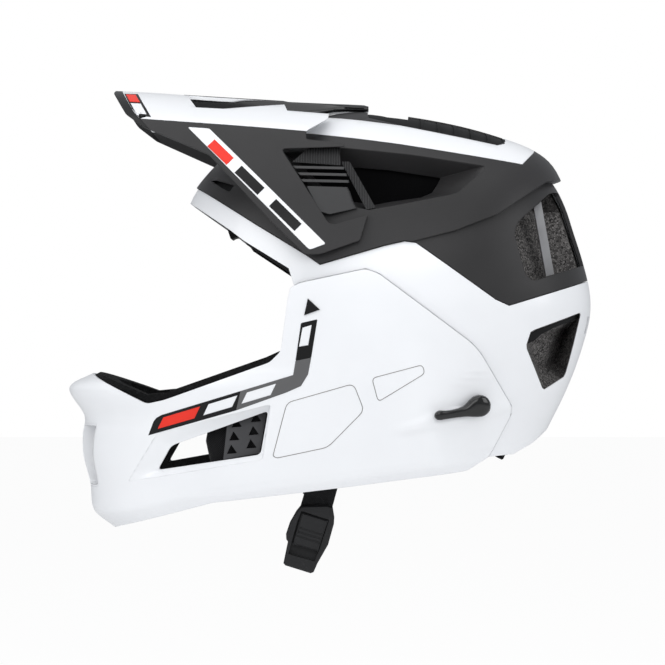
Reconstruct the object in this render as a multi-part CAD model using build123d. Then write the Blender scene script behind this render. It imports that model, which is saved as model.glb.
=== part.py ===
from build123d import *
import os
from math import atan2, cos, degrees, hypot, pi, radians, sin

# Full face helmet for downhill riding, with a chin guard that comes off.
# The helmet faces -Y, up is +Z and the wearer's left is +X.  The origin is the middle of the head.
# All sizes are in millimetres.

# The side view is drawn in shares of these two sizes.
HEAD_DEPTH = 100.0  # half the length of the head form, front to back
HEAD_RISE = 100.0  # height of the lining above the middle of the head

# Widths of the main forms, from the middle plane outwards
SHELL_HALF_WIDTH = 104.0
HEAD_HALF_WIDTH = 82.0

# Walls and gaps
SHELL_WALL = 2.6
CAP_PROUD = 1.4  # how far the crown of the upper shell stands above the lower shell
SEAM = 0.5  # gap in a visible seam
FIT = 0.3  # gap between a piece and its seat
PAD_THICKNESS = 7.0
OVERRUN = 60.0  # how far a cutting form passes the faces that it cuts
REACH = 400.0  # longer than the helmet, for forms that pass right through it

# Chin guard
CHIN_PROUD = 4.0  # how far its arms stand above the lower shell
CHIN_WALL = 3.0
CHIN_DEPTH = 23.0  # wall and liner together, at the mouth
DRAW_GAP = 0.8  # gap between its arms and the shell that they slide off
CHIN_CAVITY_HALF_WIDTH = 84.0

CHEEK_STEP = 3.5  # how deep the step round each cheek vent is
MOUTH_BAR_WIDTH = 15.0
GRILLE_SET_IN = 3.2
GRILLE_WALL = 2.0

# Vents
STRUT_HALF_WIDTH = 13.0  # half of the middle strut between the rear vents
VENT_DEPTH = 15.0  # how deep the rear vents reach into the foam
VENT_MOUTH_X = 112.0
VENT_THROAT_X = 60.0
CHEEK_THROAT_X = 20.0

# Visor
VISOR_WALL = 2.4
VISOR_CREASE_HALF_WIDTH = 71.0
VISOR_HEM_HALF_WIDTH = 108.0

VISOR_CUT_X = 50.0  # how near to the middle the cuts in the visor's sides come
LOUVRE_WALL = 1.6
LOUVRE_CLEARANCE = 0.9
VISOR_TILT = 14.0  # degrees
PIVOT_RADIUS = 3.2
PIVOT_BOSS_RADIUS = 7.5
PIVOT_HEAD_RADIUS = 5.5
PIVOT_HEAD_LIFT = 1.6
SCOOP_LENGTH = 16.0
SCOOP_WIDTH = 16.0
SCOOP_HEIGHT = 5.0
CHANNEL_RADIUS = 80.0  # from the visor's pivots to the channel that its spine slides along
CHANNEL_HALF_WIDTH = 24.5
CHANNEL_REAR = 41.0  # how far behind the pivots the channel reaches

# Release levers
LEVER_LIFT = 1.6  # how far the lever stands off the arm
LEVER_HUB_RADIUS = 6.6
LEVER_HUB_HEIGHT = 5.6
LEVER_THICKNESS = 3.2
LEVER_LENGTH = 27.0
LEVER_TIP_WIDTH = 6.0
LEVER_PIN_RADIUS = 2.6
LEVER_PIN_DEPTH = 14.5
SCREW_HEAD_RADIUS = 4.0
SOCKET_PLAY = 1.2
SOCKET_SIDE = 3.5
SOCKET_LENGTH = 20.0
SOCKET_DEPTH = 6.0
SOCKET_FLOOR = 1.2

# Pads
PAD_CROWN = 7.0
SEAM_CHANNEL = 2.4
SLOPE_STEP = 2.0  # between the points that a surface's slope is worked out from
CHEEK_PAD_FACE = 58.0
EAR_PAD_FACE = 60.0
EAR_HOLE_RADIUS = 15.0
CROWN_PAD_HALF_WIDTH = 34.0
BROW_PAD_HALF_WIDTH = 60.0
PANEL_SET_IN = 1.1
PANEL_WALL = 2.0
PANEL_HOLE = 5.5

# Straps and buckle
STRAP_X = 70.0
STRAP_WIDTH = 20.0
STRAP_THICKNESS = 1.6
STRAP_BEND = 18.0
ANCHOR_RADIUS = 8.0
BUCKLE_WIDTH = 27.0
BUCKLE_LENGTH = 42.0
BUCKLE_THICKNESS = 9.0
BUCKLE_BAR = 5.0
SLIDE_WIDTH = 17.0
SLIDE_TRAVEL = 6.0
MAGNET_RADIUS = 5.0

# Fit system
CRADLE_GAP = 2.6
CRADLE_WALL = 2.2
CRADLE_HALF_WIDTH = 46.0
CRADLE_TRAVEL = 5.0  # each way
CRADLE_SLOT_HEIGHT = 7.0
CASE_HALF_WIDTH = 22.0
CASE_HEIGHT = 20.0
CASE_DEPTH = 6.4
CASE_WALL = 1.4
DIAL_RADIUS = 13.5
DIAL_DEPTH = 8.0
DIAL_GRIP = 1.4
DIAL_SHAFT_RADIUS = 3.0
DIAL_RECESS_HALF_WIDTH = 44.0
PINION_PITCH = 5.0
PINION_TIP = 5.8
PINION_ROOT = 4.0
RACK_PLAY = 0.35
RACK_BACK = 1.8
RACK_REACH = 34.0

# Small pieces
REAR_STRUT_X = 46.0
REAR_STRUT_WIDTH = 7.0
PLUG_PROUD = 0.8

# Numbers without a length
PINION_TEETH = 10
RACK_TEETH = 9
RACK_FIRST_TOOTH = -2
DIAL_NOTCHES = 14
BUCKLE_TILT = 22.0
FULLNESS = 2.3  # exponent of the rounding from the middle plane to the sides
CHIN_FULLNESS = 2.1
DRAW_ANGLE = 60.0  # how far below the horizontal the chin guard draws off, in degrees
GRILLE_BARS = 4
SCOOP_TILT = -12.0
LOUVRE_SLOTS = 3
SMOOTH_STATIONS = (-82, -68, -52, -35, -17, 0, 17, 35, 52, 68, 82)
PLAIN_STATIONS = (-82, -64, -45, -22, 0, 22, 45, 64, 82)

# Side outlines, as shares of HEAD_DEPTH along Y and HEAD_RISE along Z
body_profile_shares = [
    (-1.20, -2.60), (-1.30, -1.50), (-1.37, -0.50), (-1.39, 0.10), (-1.365, 0.45),
    (-1.32, 0.66), (-1.21, 0.83), (-1.04, 0.99), (-0.82, 1.11), (-0.55, 1.20),
    (-0.25, 1.255), (0.0, 1.245), (0.28, 1.195), (0.54, 1.13), (0.79, 1.035),
    (0.97, 0.925), (1.10, 0.79), (1.18, 0.64), (1.24, 0.46), (1.30, 0.27),
    (1.345, 0.08), (1.35, -0.08), (1.315, -0.24), (1.25, -0.44), (1.17, -0.63),
    (1.07, -0.83), (0.98, -1.02), (0.90, -1.25), (0.84, -1.65), (0.80, -2.60),
]
cap_profile_shares = body_profile_shares[:12] + [
    (0.28, 1.205), (0.54, 1.15), (0.79, 1.075), (0.97, 1.00), (1.09, 0.90), (1.17, 0.74),
    (1.23, 0.55), (1.28, 0.34), (1.32, 0.12),
] + body_profile_shares[21:]
cavity_profile_shares = [
    (-0.98, -2.60), (-1.00, -0.80), (-1.02, 0.0), (-1.01, 0.35), (-0.94, 0.66), (-0.76, 0.88),
    (-0.45, 1.00), (0.0, 1.02), (0.42, 0.95), (0.78, 0.74), (0.99, 0.42), (1.06, 0.05),
    (1.03, -0.30), (0.93, -0.62), (0.83, -0.90), (0.76, -2.60),
]
body_outline_shares = [
    (-1.70, 0.70), (-1.32, 0.66), (-1.03, 0.46), (-0.94, 0.39), (-0.65, 0.21), (-0.616, 0.10),
    (-0.56, -0.20), (-0.40, -0.60), (0.0, -0.95), (0.40, -1.05), (0.63, -1.00), (0.805, -0.99),
    (0.95, -0.92), (1.07, -0.83), (1.70, -0.83), (1.70, 1.70), (-1.70, 1.70),
]
shell_seam_shares = [
    (-1.70, 1.00), (-1.26, 0.75), (-0.86, 0.49), (-0.52, 0.28), (-0.45, 0.23), (-0.04, 0.35),
    (0.09, 0.38), (0.16, 0.37), (0.67, 0.01), (0.76, -0.03), (1.36, 0.15), (1.70, 0.25),
]
cap_edge_shares = [
    (-1.70, 0.20), (0.05, 0.20), (0.14, 0.38), (0.41, 0.45), (0.69, 0.56), (0.90, 0.70),
    (1.03, 0.785), (1.15, 0.81), (1.70, 0.82), (1.70, 1.70), (-1.70, 1.70),
]
side_vent_shares = [
    (-0.68, 0.965), (-0.29, 0.99), (0.14, 0.945), (0.61, 0.875), (0.61, 0.85), (0.44, 0.70),
    (0.38, 0.68), (0.0, 0.604), (-0.14, 0.58), (-0.45, 0.64),
]
side_vent_throat_shares = [
    (-0.52, 0.84), (-0.25, 0.87), (0.0, 0.85), (0.33, 0.80), (0.31, 0.76), (0.27, 0.70),
    (0.20, 0.67), (0.0, 0.64), (-0.10, 0.62), (-0.36, 0.66),
]
upper_vent_shares = [
    (1.06, 0.72), (0.82, 0.51), (0.796, 0.44), (0.84, 0.27), (0.87, 0.17), (0.92, 0.13),
    (1.28, 0.24), (1.70, 0.30), (1.70, 0.74),
]
lower_vent_shares = [
    (0.895, -0.195), (1.28, -0.065), (1.40, -0.10), (1.40, -0.45), (1.16, -0.48), (1.14, -0.52),
    (1.00, -0.57), (0.985, -0.55), (0.86, -0.32),
]
arm_outline_shares = [
    (-2.40, -0.40), (-1.97, -0.47), (-1.57, -0.66), (-1.455, -0.635), (-0.77, -0.39),
    (-0.70, -0.32), (-0.66, -0.01), (-0.64, 0.085), (-0.61, 0.10), (-0.576, 0.116),
    (-0.16, 0.204), (-0.075, 0.173), (0.516, -0.267), (0.58, -0.34), (0.78, -0.67),
    (0.78, -0.73), (0.684, -0.91), (0.634, -1.00), (0.49, -1.084), (-0.335, -1.193),
    (-0.585, -1.224), (-1.14, -1.294), (-1.76, -1.47), (-1.83, -1.50), (-2.40, -1.50),
]
cheek_vent_shares = [(-1.50, -1.09), (-1.41, -0.93), (-0.78, -0.70), (-0.83, -0.98)]
cheek_bevel_shares = [(-1.70, -1.17), (-1.50, -0.85), (-0.76, -0.665), (-0.81, -1.02)]

# Below this share of HEAD_RISE the chin guard has no arms, and its sections keep their width behind
arm_foot_share = -1.10

# Where the arms' sections are drawn, behind the widest place, as shares of HEAD_DEPTH
arm_stations_share = (-0.10, 0.18, 0.40, 0.60, 0.76, 0.86)

# The chin guard's liner: its side outline, and the space behind its mouth
chin_liner_shares = [
    (-2.40, -0.30), (-1.95, -0.455), (-1.57, -0.60), (-1.455, -0.59), (-0.80, -0.36),
    (-0.69, -0.31), (-0.65, -0.01), (-0.62, 0.08), (-0.576, 0.10), (-0.16, 0.19),
    (-0.08, 0.16), (0.505, -0.28), (0.57, -0.35), (0.765, -0.675), (0.765, -0.73),
    (0.67, -0.905), (0.62, -0.99), (0.48, -1.07), (-0.335, -1.18), (-0.585, -1.21),
    (-1.14, -1.28), (-1.75, -1.45), (-2.40, -1.49),
]
mouth_vent_shares = [(0.30, -1.22), (0.38, -0.80)]  # across and up, seen from the front
mouth_back_shares = [(-0.75, -2.4), (-0.75, 0.6), (1.7, 0.6), (1.7, -2.4)]
mouth_depth_share = 1.40
mouth_front_share = -1.81
mouth_rear_share = -0.60

# The pocket under each arm: how wide the helmet is below it, across the way that the arm draws off
pocket_places_shares = [-1.50, -0.15, 0.20, 0.58, 0.67, 0.90, 1.05, 1.30]
pocket_half_widths_shares = [0.86, 0.86, 0.875, 0.86, 0.84, 0.75, 0.665, 0.52]

# The chin guard's front edge at each height, as shares of HEAD_DEPTH and HEAD_RISE
chin_front_shares = [
    (-1.72, -1.58), (-1.88, -1.48), (-1.97, -1.37), (-1.99, -1.20), (-2.035, -1.02), (-2.04, -0.88),
    (-2.03, -0.75), (-2.13, -0.57), (-1.97, -0.47), (-1.80, -0.38), (-1.74, -0.10), (-1.72, 0.24),
]

# The visor's sections: where the top, the crease and the hem lie at stations along its length
visor_stations_share = (-1.95, -1.56, -1.16, -0.76, -0.40, -0.08)
visor_top_shares = (1.42, 1.40, 1.37, 1.346, 1.325, 1.315)
visor_crease_shares = (1.205, 1.18, 1.155, 1.135, 1.10, 1.055)
visor_crease_width_shares = (0.94, 0.97, 1.01, 1.02, 1.00, 0.98)
visor_side_outline_shares = [
    (-1.80, 1.45), (-1.815, 1.38), (-1.71, 1.215), (-1.59, 1.125), (-1.165, 0.94), (-1.06, 0.83),
    (-0.74, 0.485), (-0.545, 0.296), (-0.45, 0.296), (-0.196, 0.384), (-0.158, 0.58),
    (-0.295, 0.85), (-0.294, 1.02), (-0.54, 1.045), (-0.54, 1.10), (-0.40, 1.19), (-0.36, 1.45),
]
visor_window_shares = [
    (-0.70, 0.98), (-0.54, 0.726), (-0.40, 0.50), (-0.36, 0.485), (-0.14, 0.55), (-0.10, 0.58),
    (-0.20, 0.86), (-0.20, 1.00),
]
visor_trim_band_shares = [
    (-1.90, 1.42), (-1.90, 1.0), (-1.53, 1.0), (-1.53, 1.085), (-1.665, 1.24), (-1.765, 1.40),
    (-1.765, 1.42),
]
visor_top_vent_shares = [(-1.31, 0.13), (-1.26, 0.46), (-0.72, 0.44), (-0.70, 0.30), (-0.98, 0.22)]

spine_scoop_stations_share = (-0.86, -0.62, -0.38)
visor_hem_share = 0.27
visor_bulge_share = 0.72
visor_shoulder_share = 0.78
visor_pivot_share = (-0.27, 0.466)
visor_louvre_shares = [
    (-0.76, 1.03), (-0.44, 0.46), (-0.16, 0.52), (-0.16, 0.62), (-0.29, 0.87), (-0.29, 1.01),
]
visor_first_slot_share = 0.70
visor_slot_pitch_share = 0.09
visor_slot_open_share = 0.60
spine_sections_shares = [  # along, top, underside, half width of the top and of the underside
    (-1.34, 1.384, 1.31, 0.10, 0.13), (-0.99, 1.362, 1.29, 0.13, 0.20),
    (-0.45, 1.332, 1.275, 0.14, 0.22),
    (-0.12, 1.314, 1.268, 0.12, 0.18),
]
lever_pivot_share = (0.557, -0.665)
lever_tip_share = (0.30, -0.72)
cheek_pad_shares = [
    (-1.14, -1.12), (-1.19, -0.90), (-1.16, -0.74), (-1.00, -0.47), (-0.74, -0.36), (-0.67, -0.55),
    (-0.67, -1.10),
]
cheek_seam_shares = [[(-1.10, -0.72), (-0.70, -0.62)], [(-1.14, -0.92), (-0.70, -0.86)]]
cheek_panel_shares = [(-1.05, -0.799), (-0.787, -0.703), (-0.834, -0.978), (-1.075, -1.020)]
ear_pad_shares = [
    (-0.50, -0.12), (-0.48, -0.42), (-0.30, -0.70), (0.02, -0.86), (0.30, -0.80), (0.36, -0.45),
    (0.16, -0.10), (-0.20, -0.02),
]
ear_hole_share = (-0.05, -0.42)
crown_pad_shares = [(-0.67, 0.40), (-0.67, 1.30), (0.86, 1.30), (0.86, 0.40), (0.60, 0.40)]
crown_seams_share = (-0.45, -0.18, 0.10, 0.38, 0.62)
brow_pad_shares = [
    (-1.30, 0.62), (-1.02, 0.47), (-0.62, 0.24), (-0.56, 0.48), (-0.78, 0.80), (-1.30, 0.80),
]
neck_roll_shares = [
    (0.50, -1.02), (0.63, -0.98), (1.20, -0.90), (1.20, -0.62), (0.72, -0.66), (0.50, -0.80),
]
strap_anchor_shares = [(-0.44, -0.30), (0.36, -0.52)]
strap_join_share = (-0.42, -1.10)
strap_foot_share = (-0.475, -1.34)
strap_low_share = -1.76
buckle_middle_share = (-0.517, -1.525)
cradle_shares = [(0.50, -0.95), (1.30, -0.95), (1.30, -0.10), (0.50, -0.10)]
dial_share = (0.775, -0.80)
rear_strut_shares = [(0.92, 0.74), (0.975, 0.74), (1.09, 0.10), (1.035, 0.10)]
plug_corner_shares = [(-0.527, 0.016), (-0.45, -0.055), (-0.55, -0.09)]
spine_scoop_height_share = 1.345
liner_joint_share = 0.60
liner_rear_joint_share = 0.52
visor_slot_front_share = -0.62
visor_slot_rear_share = -0.20
visor_slot_fall_share = 0.02
panel_hole_first_share = (-0.985, -0.785)
panel_hole_column_share = (0.125, 0.035)
panel_hole_row_share = (-0.015, -0.085)
cradle_slot_share = (-0.20, -0.14)  # the first slot's height, and the step to the next
chin_turn_share = -0.10  # where the chin guard is widest
pocket_front_share = 0.20
space_low_share = -2.40
space_high_share = 0.60


def side_points(shares):
    return [(HEAD_DEPTH * y, HEAD_RISE * z) for y, z in shares]


def side_prism(shares, inner, outer, grow=0.0):
    """A prism along X that has the outline of the side view, between two distances from the middle."""
    outline = Polyline(*side_points(shares), close=True)
    face = make_face(outline)
    if grow:
        face = offset(face, amount=grow, kind=Kind.INTERSECTION)
    return extrude(Plane.YZ.offset(inner) * face, amount=outer - inner)


def across(shares, grow=0.0):
    """The same prism from side to side."""
    reach = SHELL_HALF_WIDTH + OVERRUN
    return side_prism(shares, -reach, reach, grow)


def mirrored(shape):
    return mirror(shape, about=Plane.YZ)


def both_sides(shape):
    return shape + mirrored(shape)


def rounding(turn):
    """The share of the half width, and of the side outline, at one turn of the rounding."""
    width_share = abs(sin(radians(turn))) ** (2 / FULLNESS)
    outline_share = abs(cos(radians(turn))) ** (2 / FULLNESS)
    return (width_share if turn >= 0 else -width_share), outline_share


def envelope(shares, half_width, inset, smooth=True):
    """A closed form round the head: the side outline, drawn in towards the head's middle at each side."""
    wires = []
    for turn in SMOOTH_STATIONS if smooth else PLAIN_STATIONS:
        width_share, outline_share = rounding(turn)
        points = []
        for y, z in side_points(shares):
            drawn = outline_share * (1 - inset / hypot(y, z))
            points.append((y * drawn, z * drawn))
        if smooth:
            curve = Spline(*points)
            wire = Wire([curve.edge(), Line(points[-1], points[0]).edge()])
        else:
            wire = Wire.make_polygon([Vector(*p) for p in points], close=True)
        wires.append(Plane.YZ.offset((half_width - inset) * width_share) * wire)
    return Solid.make_loft(wires, ruled=not smooth)


def outline_reach(shares, y, z):
    """How far the side outline lies from the head's middle, towards a point of the side view."""
    wanted = atan2(z, y)
    points = side_points(shares)
    for (ya, za), (yb, zb) in zip(points, points[1:] + points[:1]):
        cross_a = ya * sin(wanted) - za * cos(wanted)
        cross_b = yb * sin(wanted) - zb * cos(wanted)
        if cross_a * cross_b > 0:
            continue
        along = cross_a / (cross_a - cross_b)
        ym = ya + (yb - ya) * along
        zm = za + (zb - za) * along
        if ym * cos(wanted) + zm * sin(wanted) > 0:
            return hypot(ym, zm)
    raise ValueError("the outline misses this direction")


def shell_width(y, z):
    """Half the width of the lower shell at a point of the side view."""
    share = min(hypot(y, z) / outline_reach(body_profile_shares, y, z), 1.0)
    return SHELL_HALF_WIDTH * (1 - share**FULLNESS) ** (1 / FULLNESS)


def chin_section(front_y, z, inset):
    """A level section of the chin guard, closed behind its arms."""
    turn_y = chin_turn_share * HEAD_DEPTH
    side = shell_width(turn_y, z) + CHIN_PROUD - inset
    front = front_y + inset
    points = []
    for share in (1.0, 0.975, 0.91, 0.80, 0.65, 0.47, 0.28, 0.10):
        y = turn_y + (front - turn_y) * share
        points.append((side * (1 - share**CHIN_FULLNESS) ** (1 / CHIN_FULLNESS), y))
    narrowing = side / (shell_width(turn_y, max(z, arm_foot_share * HEAD_RISE)) + CHIN_PROUD - inset)
    for share in arm_stations_share:
        y = share * HEAD_DEPTH
        arm = shell_width(y, max(z, arm_foot_share * HEAD_RISE)) + CHIN_PROUD - inset
        points.append((arm * narrowing, y))
    tail_x = 2 * points[-1][0] - points[-2][0]
    tail_y = 2 * points[-1][1] - points[-2][1]
    left = points[1:] + [(tail_x, tail_y)]
    right = [(-x, y) for x, y in reversed(left)]
    curve = Spline(*right, points[0], *left)
    closing = Line(left[-1], right[0])
    return Plane.XY.offset(z) * Wire([curve.edge(), closing.edge()])


def chin_form(inset):
    """The outer form of the chin guard and its arms, or the same form set inwards."""
    wires = [chin_section(y, z, inset) for y, z in side_points(chin_front_shares)]
    return Solid.make_loft(wires, ruled=True)


def draw_direction():
    turn = radians(DRAW_ANGLE)
    return Vector(0, -cos(turn), -sin(turn))


def draw_form(gap, inside):
    """The space beside the head, swept the way that the chin guard draws off.

    Inside, it is the space that the arms leave free; outside, the space that they may fill.
    """
    along = draw_direction()
    plane = Plane(origin=(0, 0, 0), x_dir=Vector(0, -along.Z, along.Y), z_dir=along)
    places = [HEAD_DEPTH * share for share in pocket_places_shares]
    widths = [SHELL_HALF_WIDTH * share + gap for share in pocket_half_widths_shares]
    edge = list(zip(places, widths))
    far = SHELL_HALF_WIDTH + OVERRUN
    if inside:
        right = [(q, -x) for q, x in reversed(edge)]
        face = make_face(Polyline(*edge, *right, close=True))
        return extrude(plane * face, amount=REACH, both=True)
    face = make_face(Polyline(*edge, (places[-1], far), (places[0], far), close=True))
    return extrude(plane * face, amount=REACH, both=True)


def pocket_form(grow):
    """The pocket that one arm lies in and slides out of, or the same pocket with a wall round it."""
    seam = side_points(arm_outline_shares[8:18])
    along = draw_direction()
    last = (seam[-1][0] + along.Y * REACH, seam[-1][1] + along.Z * REACH)
    first = (seam[0][0] - REACH, seam[0][1] - along.Z / along.Y * REACH * pocket_front_share)
    face = make_face(Polyline(first, *seam, last, (first[0], last[1]), close=True))
    face = offset(face, amount=DRAW_GAP + grow, kind=Kind.INTERSECTION)
    region = extrude(Plane.YZ * face, amount=SHELL_HALF_WIDTH + OVERRUN)
    return region & draw_form(-grow, inside=False)


def region_below(line_shares, depth_share=-2.4):
    return [*line_shares, (line_shares[-1][0], depth_share), (line_shares[0][0], depth_share)]


def region_above(line_shares, height_share=2.0):
    return [*line_shares, (line_shares[-1][0], height_share), (line_shares[0][0], height_share)]


def tapered_vent(outer_shares, inner_shares, outer_x, inner_x):
    """A cut that narrows from its mouth, far out at the side, to its throat."""
    mouth = Wire.make_polygon([Vector(*p) for p in side_points(outer_shares)], close=True)
    throat = Wire.make_polygon([Vector(*p) for p in side_points(inner_shares)], close=True)
    return Solid.make_loft([Plane.YZ.offset(inner_x) * throat, Plane.YZ.offset(outer_x) * mouth], ruled=True)


def make_shells():
    body = envelope(body_profile_shares, SHELL_HALF_WIDTH, 0.0)
    cap = envelope(cap_profile_shares, SHELL_HALF_WIDTH, -CAP_PROUD)
    inner = envelope(body_profile_shares, SHELL_HALF_WIDTH, SHELL_WALL)
    region = across(body_outline_shares)
    pocket = pocket_form(0.0)
    pocket_wall = pocket_form(SHELL_WALL)
    low = body & region & across(region_below(shell_seam_shares))
    low = low - pocket - mirrored(pocket)
    hollow = inner - pocket_wall - mirrored(pocket_wall)
    rear_low = side_prism(lower_vent_shares, STRUT_HALF_WIDTH, SHELL_HALF_WIDTH)
    low = low - hollow - rear_low - mirrored(rear_low)
    above = across(region_above(shell_seam_shares), grow=-SEAM)
    up = (body & above & region) + (cap & above & across(cap_edge_shares) & region)
    side_vent = tapered_vent(side_vent_shares, side_vent_throat_shares, VENT_MOUTH_X, VENT_THROAT_X)
    rear_up = side_prism(upper_vent_shares, STRUT_HALF_WIDTH, SHELL_HALF_WIDTH)
    up = up - channel_form(0.0) - (inner - channel_form(SHELL_WALL))
    up = up - side_vent - mirrored(side_vent) - rear_up - mirrored(rear_up)
    parts["lower_shell"] = low
    parts["upper_shell"] = up


def make_liner():
    outer = envelope(body_profile_shares, SHELL_HALF_WIDTH, SHELL_WALL + FIT, smooth=False)
    cavity = envelope(cavity_profile_shares, HEAD_HALF_WIDTH, 0.0, smooth=False)
    floor = envelope(body_profile_shares, SHELL_HALF_WIDTH, SHELL_WALL + VENT_DEPTH, smooth=False)
    pocket = pocket_form(SHELL_WALL + 2 * FIT)
    liner = (outer & across(body_outline_shares, grow=-FIT)) - cavity - pocket - mirrored(pocket)
    liner = liner - channel_form(SHELL_WALL + FIT)
    side_vent = tapered_vent(side_vent_shares, side_vent_throat_shares, VENT_MOUTH_X, VENT_THROAT_X)
    liner = liner - side_vent - mirrored(side_vent)
    for shares in (upper_vent_shares, lower_vent_shares):
        rear = side_prism(shares, STRUT_HALF_WIDTH, SHELL_HALF_WIDTH, grow=FIT) - floor
        liner = liner - rear - mirrored(rear)
    parts["foam_liner"] = liner


def make_chin_guard():
    outer = chin_form(0.0)
    behind = draw_form(DRAW_GAP, inside=True) & across(mouth_back_shares)
    hole = both_sides(side_prism(cheek_vent_shares, CHEEK_THROAT_X, SHELL_HALF_WIDTH + OVERRUN))
    step = both_sides(side_prism(cheek_bevel_shares, CHEEK_THROAT_X, SHELL_HALF_WIDTH + OVERRUN))
    step_wall = both_sides(
        side_prism(cheek_bevel_shares, CHEEK_THROAT_X, SHELL_HALF_WIDTH + OVERRUN, grow=CHIN_WALL)
    )
    shell = (outer & across(arm_outline_shares)) - (step - chin_form(CHEEK_STEP))
    inner = chin_form(CHIN_WALL) - (step_wall - chin_form(CHEEK_STEP + CHIN_WALL))
    packing = chin_form(CHIN_WALL + FIT) - (step_wall - chin_form(CHEEK_STEP + CHIN_WALL + FIT))
    mouth_cut = mouth_vent_form(0.0)
    parts["chin_shell"] = shell - inner - behind - hole - mouth_cut
    liner = (packing & across(chin_liner_shares)) - behind - mouth_space() - hole
    parts["chin_liner"] = liner - mouth_vent_form(0.0)


def mouth_vent_form(grow):
    """The vents in front of the mouth, cut from the front on both sides of a bar."""
    points = [(HEAD_DEPTH * x, HEAD_RISE * z) for x, z in mouth_vent_shares]
    points += [(MOUTH_BAR_WIDTH / 2, z) for x, z in reversed(points)]
    face = make_face(Polyline(*points, close=True))
    if grow:
        face = offset(face, amount=grow, kind=Kind.INTERSECTION)
    plane = Plane(origin=(0, -REACH, 0), x_dir=(1, 0, 0), z_dir=(0, -1, 0))
    return both_sides(extrude(plane * face, amount=HEAD_DEPTH * mouth_depth_share - REACH))


def make_mouth_grille():
    """The black louvred grille that sits inside the mouth vent."""
    plate = (chin_form(GRILLE_SET_IN) - chin_form(GRILLE_SET_IN + GRILLE_WALL)) & mouth_vent_form(-FIT)
    front = side_points(chin_front_shares)[5][0]
    low = HEAD_RISE * mouth_vent_shares[0][1]
    high = HEAD_RISE * mouth_vent_shares[-1][1]
    inner = MOUTH_BAR_WIDTH / 2
    outer = HEAD_DEPTH * mouth_vent_shares[0][0]
    pitch = (high - low) / GRILLE_BARS
    slots = []
    for row in range(GRILLE_BARS):
        z = low + pitch * (row + 0.5)
        for side in (-1, 1):
            x = side * (inner + outer) / 2
            slot = Box((outer - inner) * 0.76, CHIN_DEPTH * 2, pitch * 0.55)
            slots.append(Pos(x, front + CHIN_DEPTH / 2, z) * slot)
    parts["mouth_grille"] = plate - slots


def mouth_space(grow=0.0):
    """The space inside the chin guard: level sections that widen from the mouth to the arms."""
    front = HEAD_DEPTH * mouth_front_share
    rear = HEAD_DEPTH * mouth_rear_share
    points = []
    half_width = CHIN_CAVITY_HALF_WIDTH + grow
    for share in (1.0, 0.94, 0.82, 0.64, 0.42, 0.20, 0.0):
        y = rear + (front - grow - rear) * share
        points.append((half_width * (1 - share**CHIN_FULLNESS) ** (1 / CHIN_FULLNESS), y))
    left = points + [(half_width, REACH)]
    right = [(-x, y) for x, y in reversed(left[1:])]
    face = make_face(Polyline(*right, *left, close=True))
    low = HEAD_RISE * space_low_share
    return extrude(Plane.XY.offset(low) * face, amount=HEAD_RISE * space_high_share - low)


def visor_section(index, inset):
    """One upright section of the visor's skin: hem, crease, top and the same on the other side."""
    y = HEAD_DEPTH * visor_stations_share[index]
    top = HEAD_RISE * visor_top_shares[index] - inset
    crease_x = VISOR_CREASE_HALF_WIDTH * visor_crease_width_shares[index] - inset
    crease_z = HEAD_RISE * visor_crease_shares[index] - inset
    hem_x = VISOR_HEM_HALF_WIDTH - inset
    hem_z = HEAD_RISE * visor_hem_share
    bulge_x = crease_x + (hem_x - crease_x) * visor_bulge_share
    bulge_z = (crease_z + hem_z) / 2
    shoulder_z = crease_z + (top - crease_z) * visor_shoulder_share
    edges = [
        ThreePointArc((-hem_x, hem_z), (-bulge_x, bulge_z), (-crease_x, crease_z)),
        ThreePointArc((-crease_x, crease_z), (-crease_x / 2, shoulder_z), (0, top)),
        ThreePointArc((0, top), (crease_x / 2, shoulder_z), (crease_x, crease_z)),
        ThreePointArc((crease_x, crease_z), (bulge_x, bulge_z), (hem_x, hem_z)),
        Line((hem_x, hem_z), (-hem_x, hem_z)),
    ]
    plane = Plane(origin=(0, y, 0), x_dir=(1, 0, 0), z_dir=(0, -1, 0))
    return plane * Wire([edge.edge() for edge in edges])


def visor_form(inset):
    sections = [visor_section(index, inset) for index in range(len(visor_stations_share))]
    return Solid.make_loft(sections, ruled=True)


def plan_prism(shares, low_share, high_share):
    """A prism along Z: its outline lies along Y and X, in shares of HEAD_DEPTH, on the wearer's left."""
    points = [(HEAD_DEPTH * x, HEAD_DEPTH * y) for y, x in shares]
    face = make_face(Polyline(*points, close=True))
    low = HEAD_RISE * low_share
    return extrude(Plane.XY.offset(low) * face, amount=HEAD_RISE * high_share - low)


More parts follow.
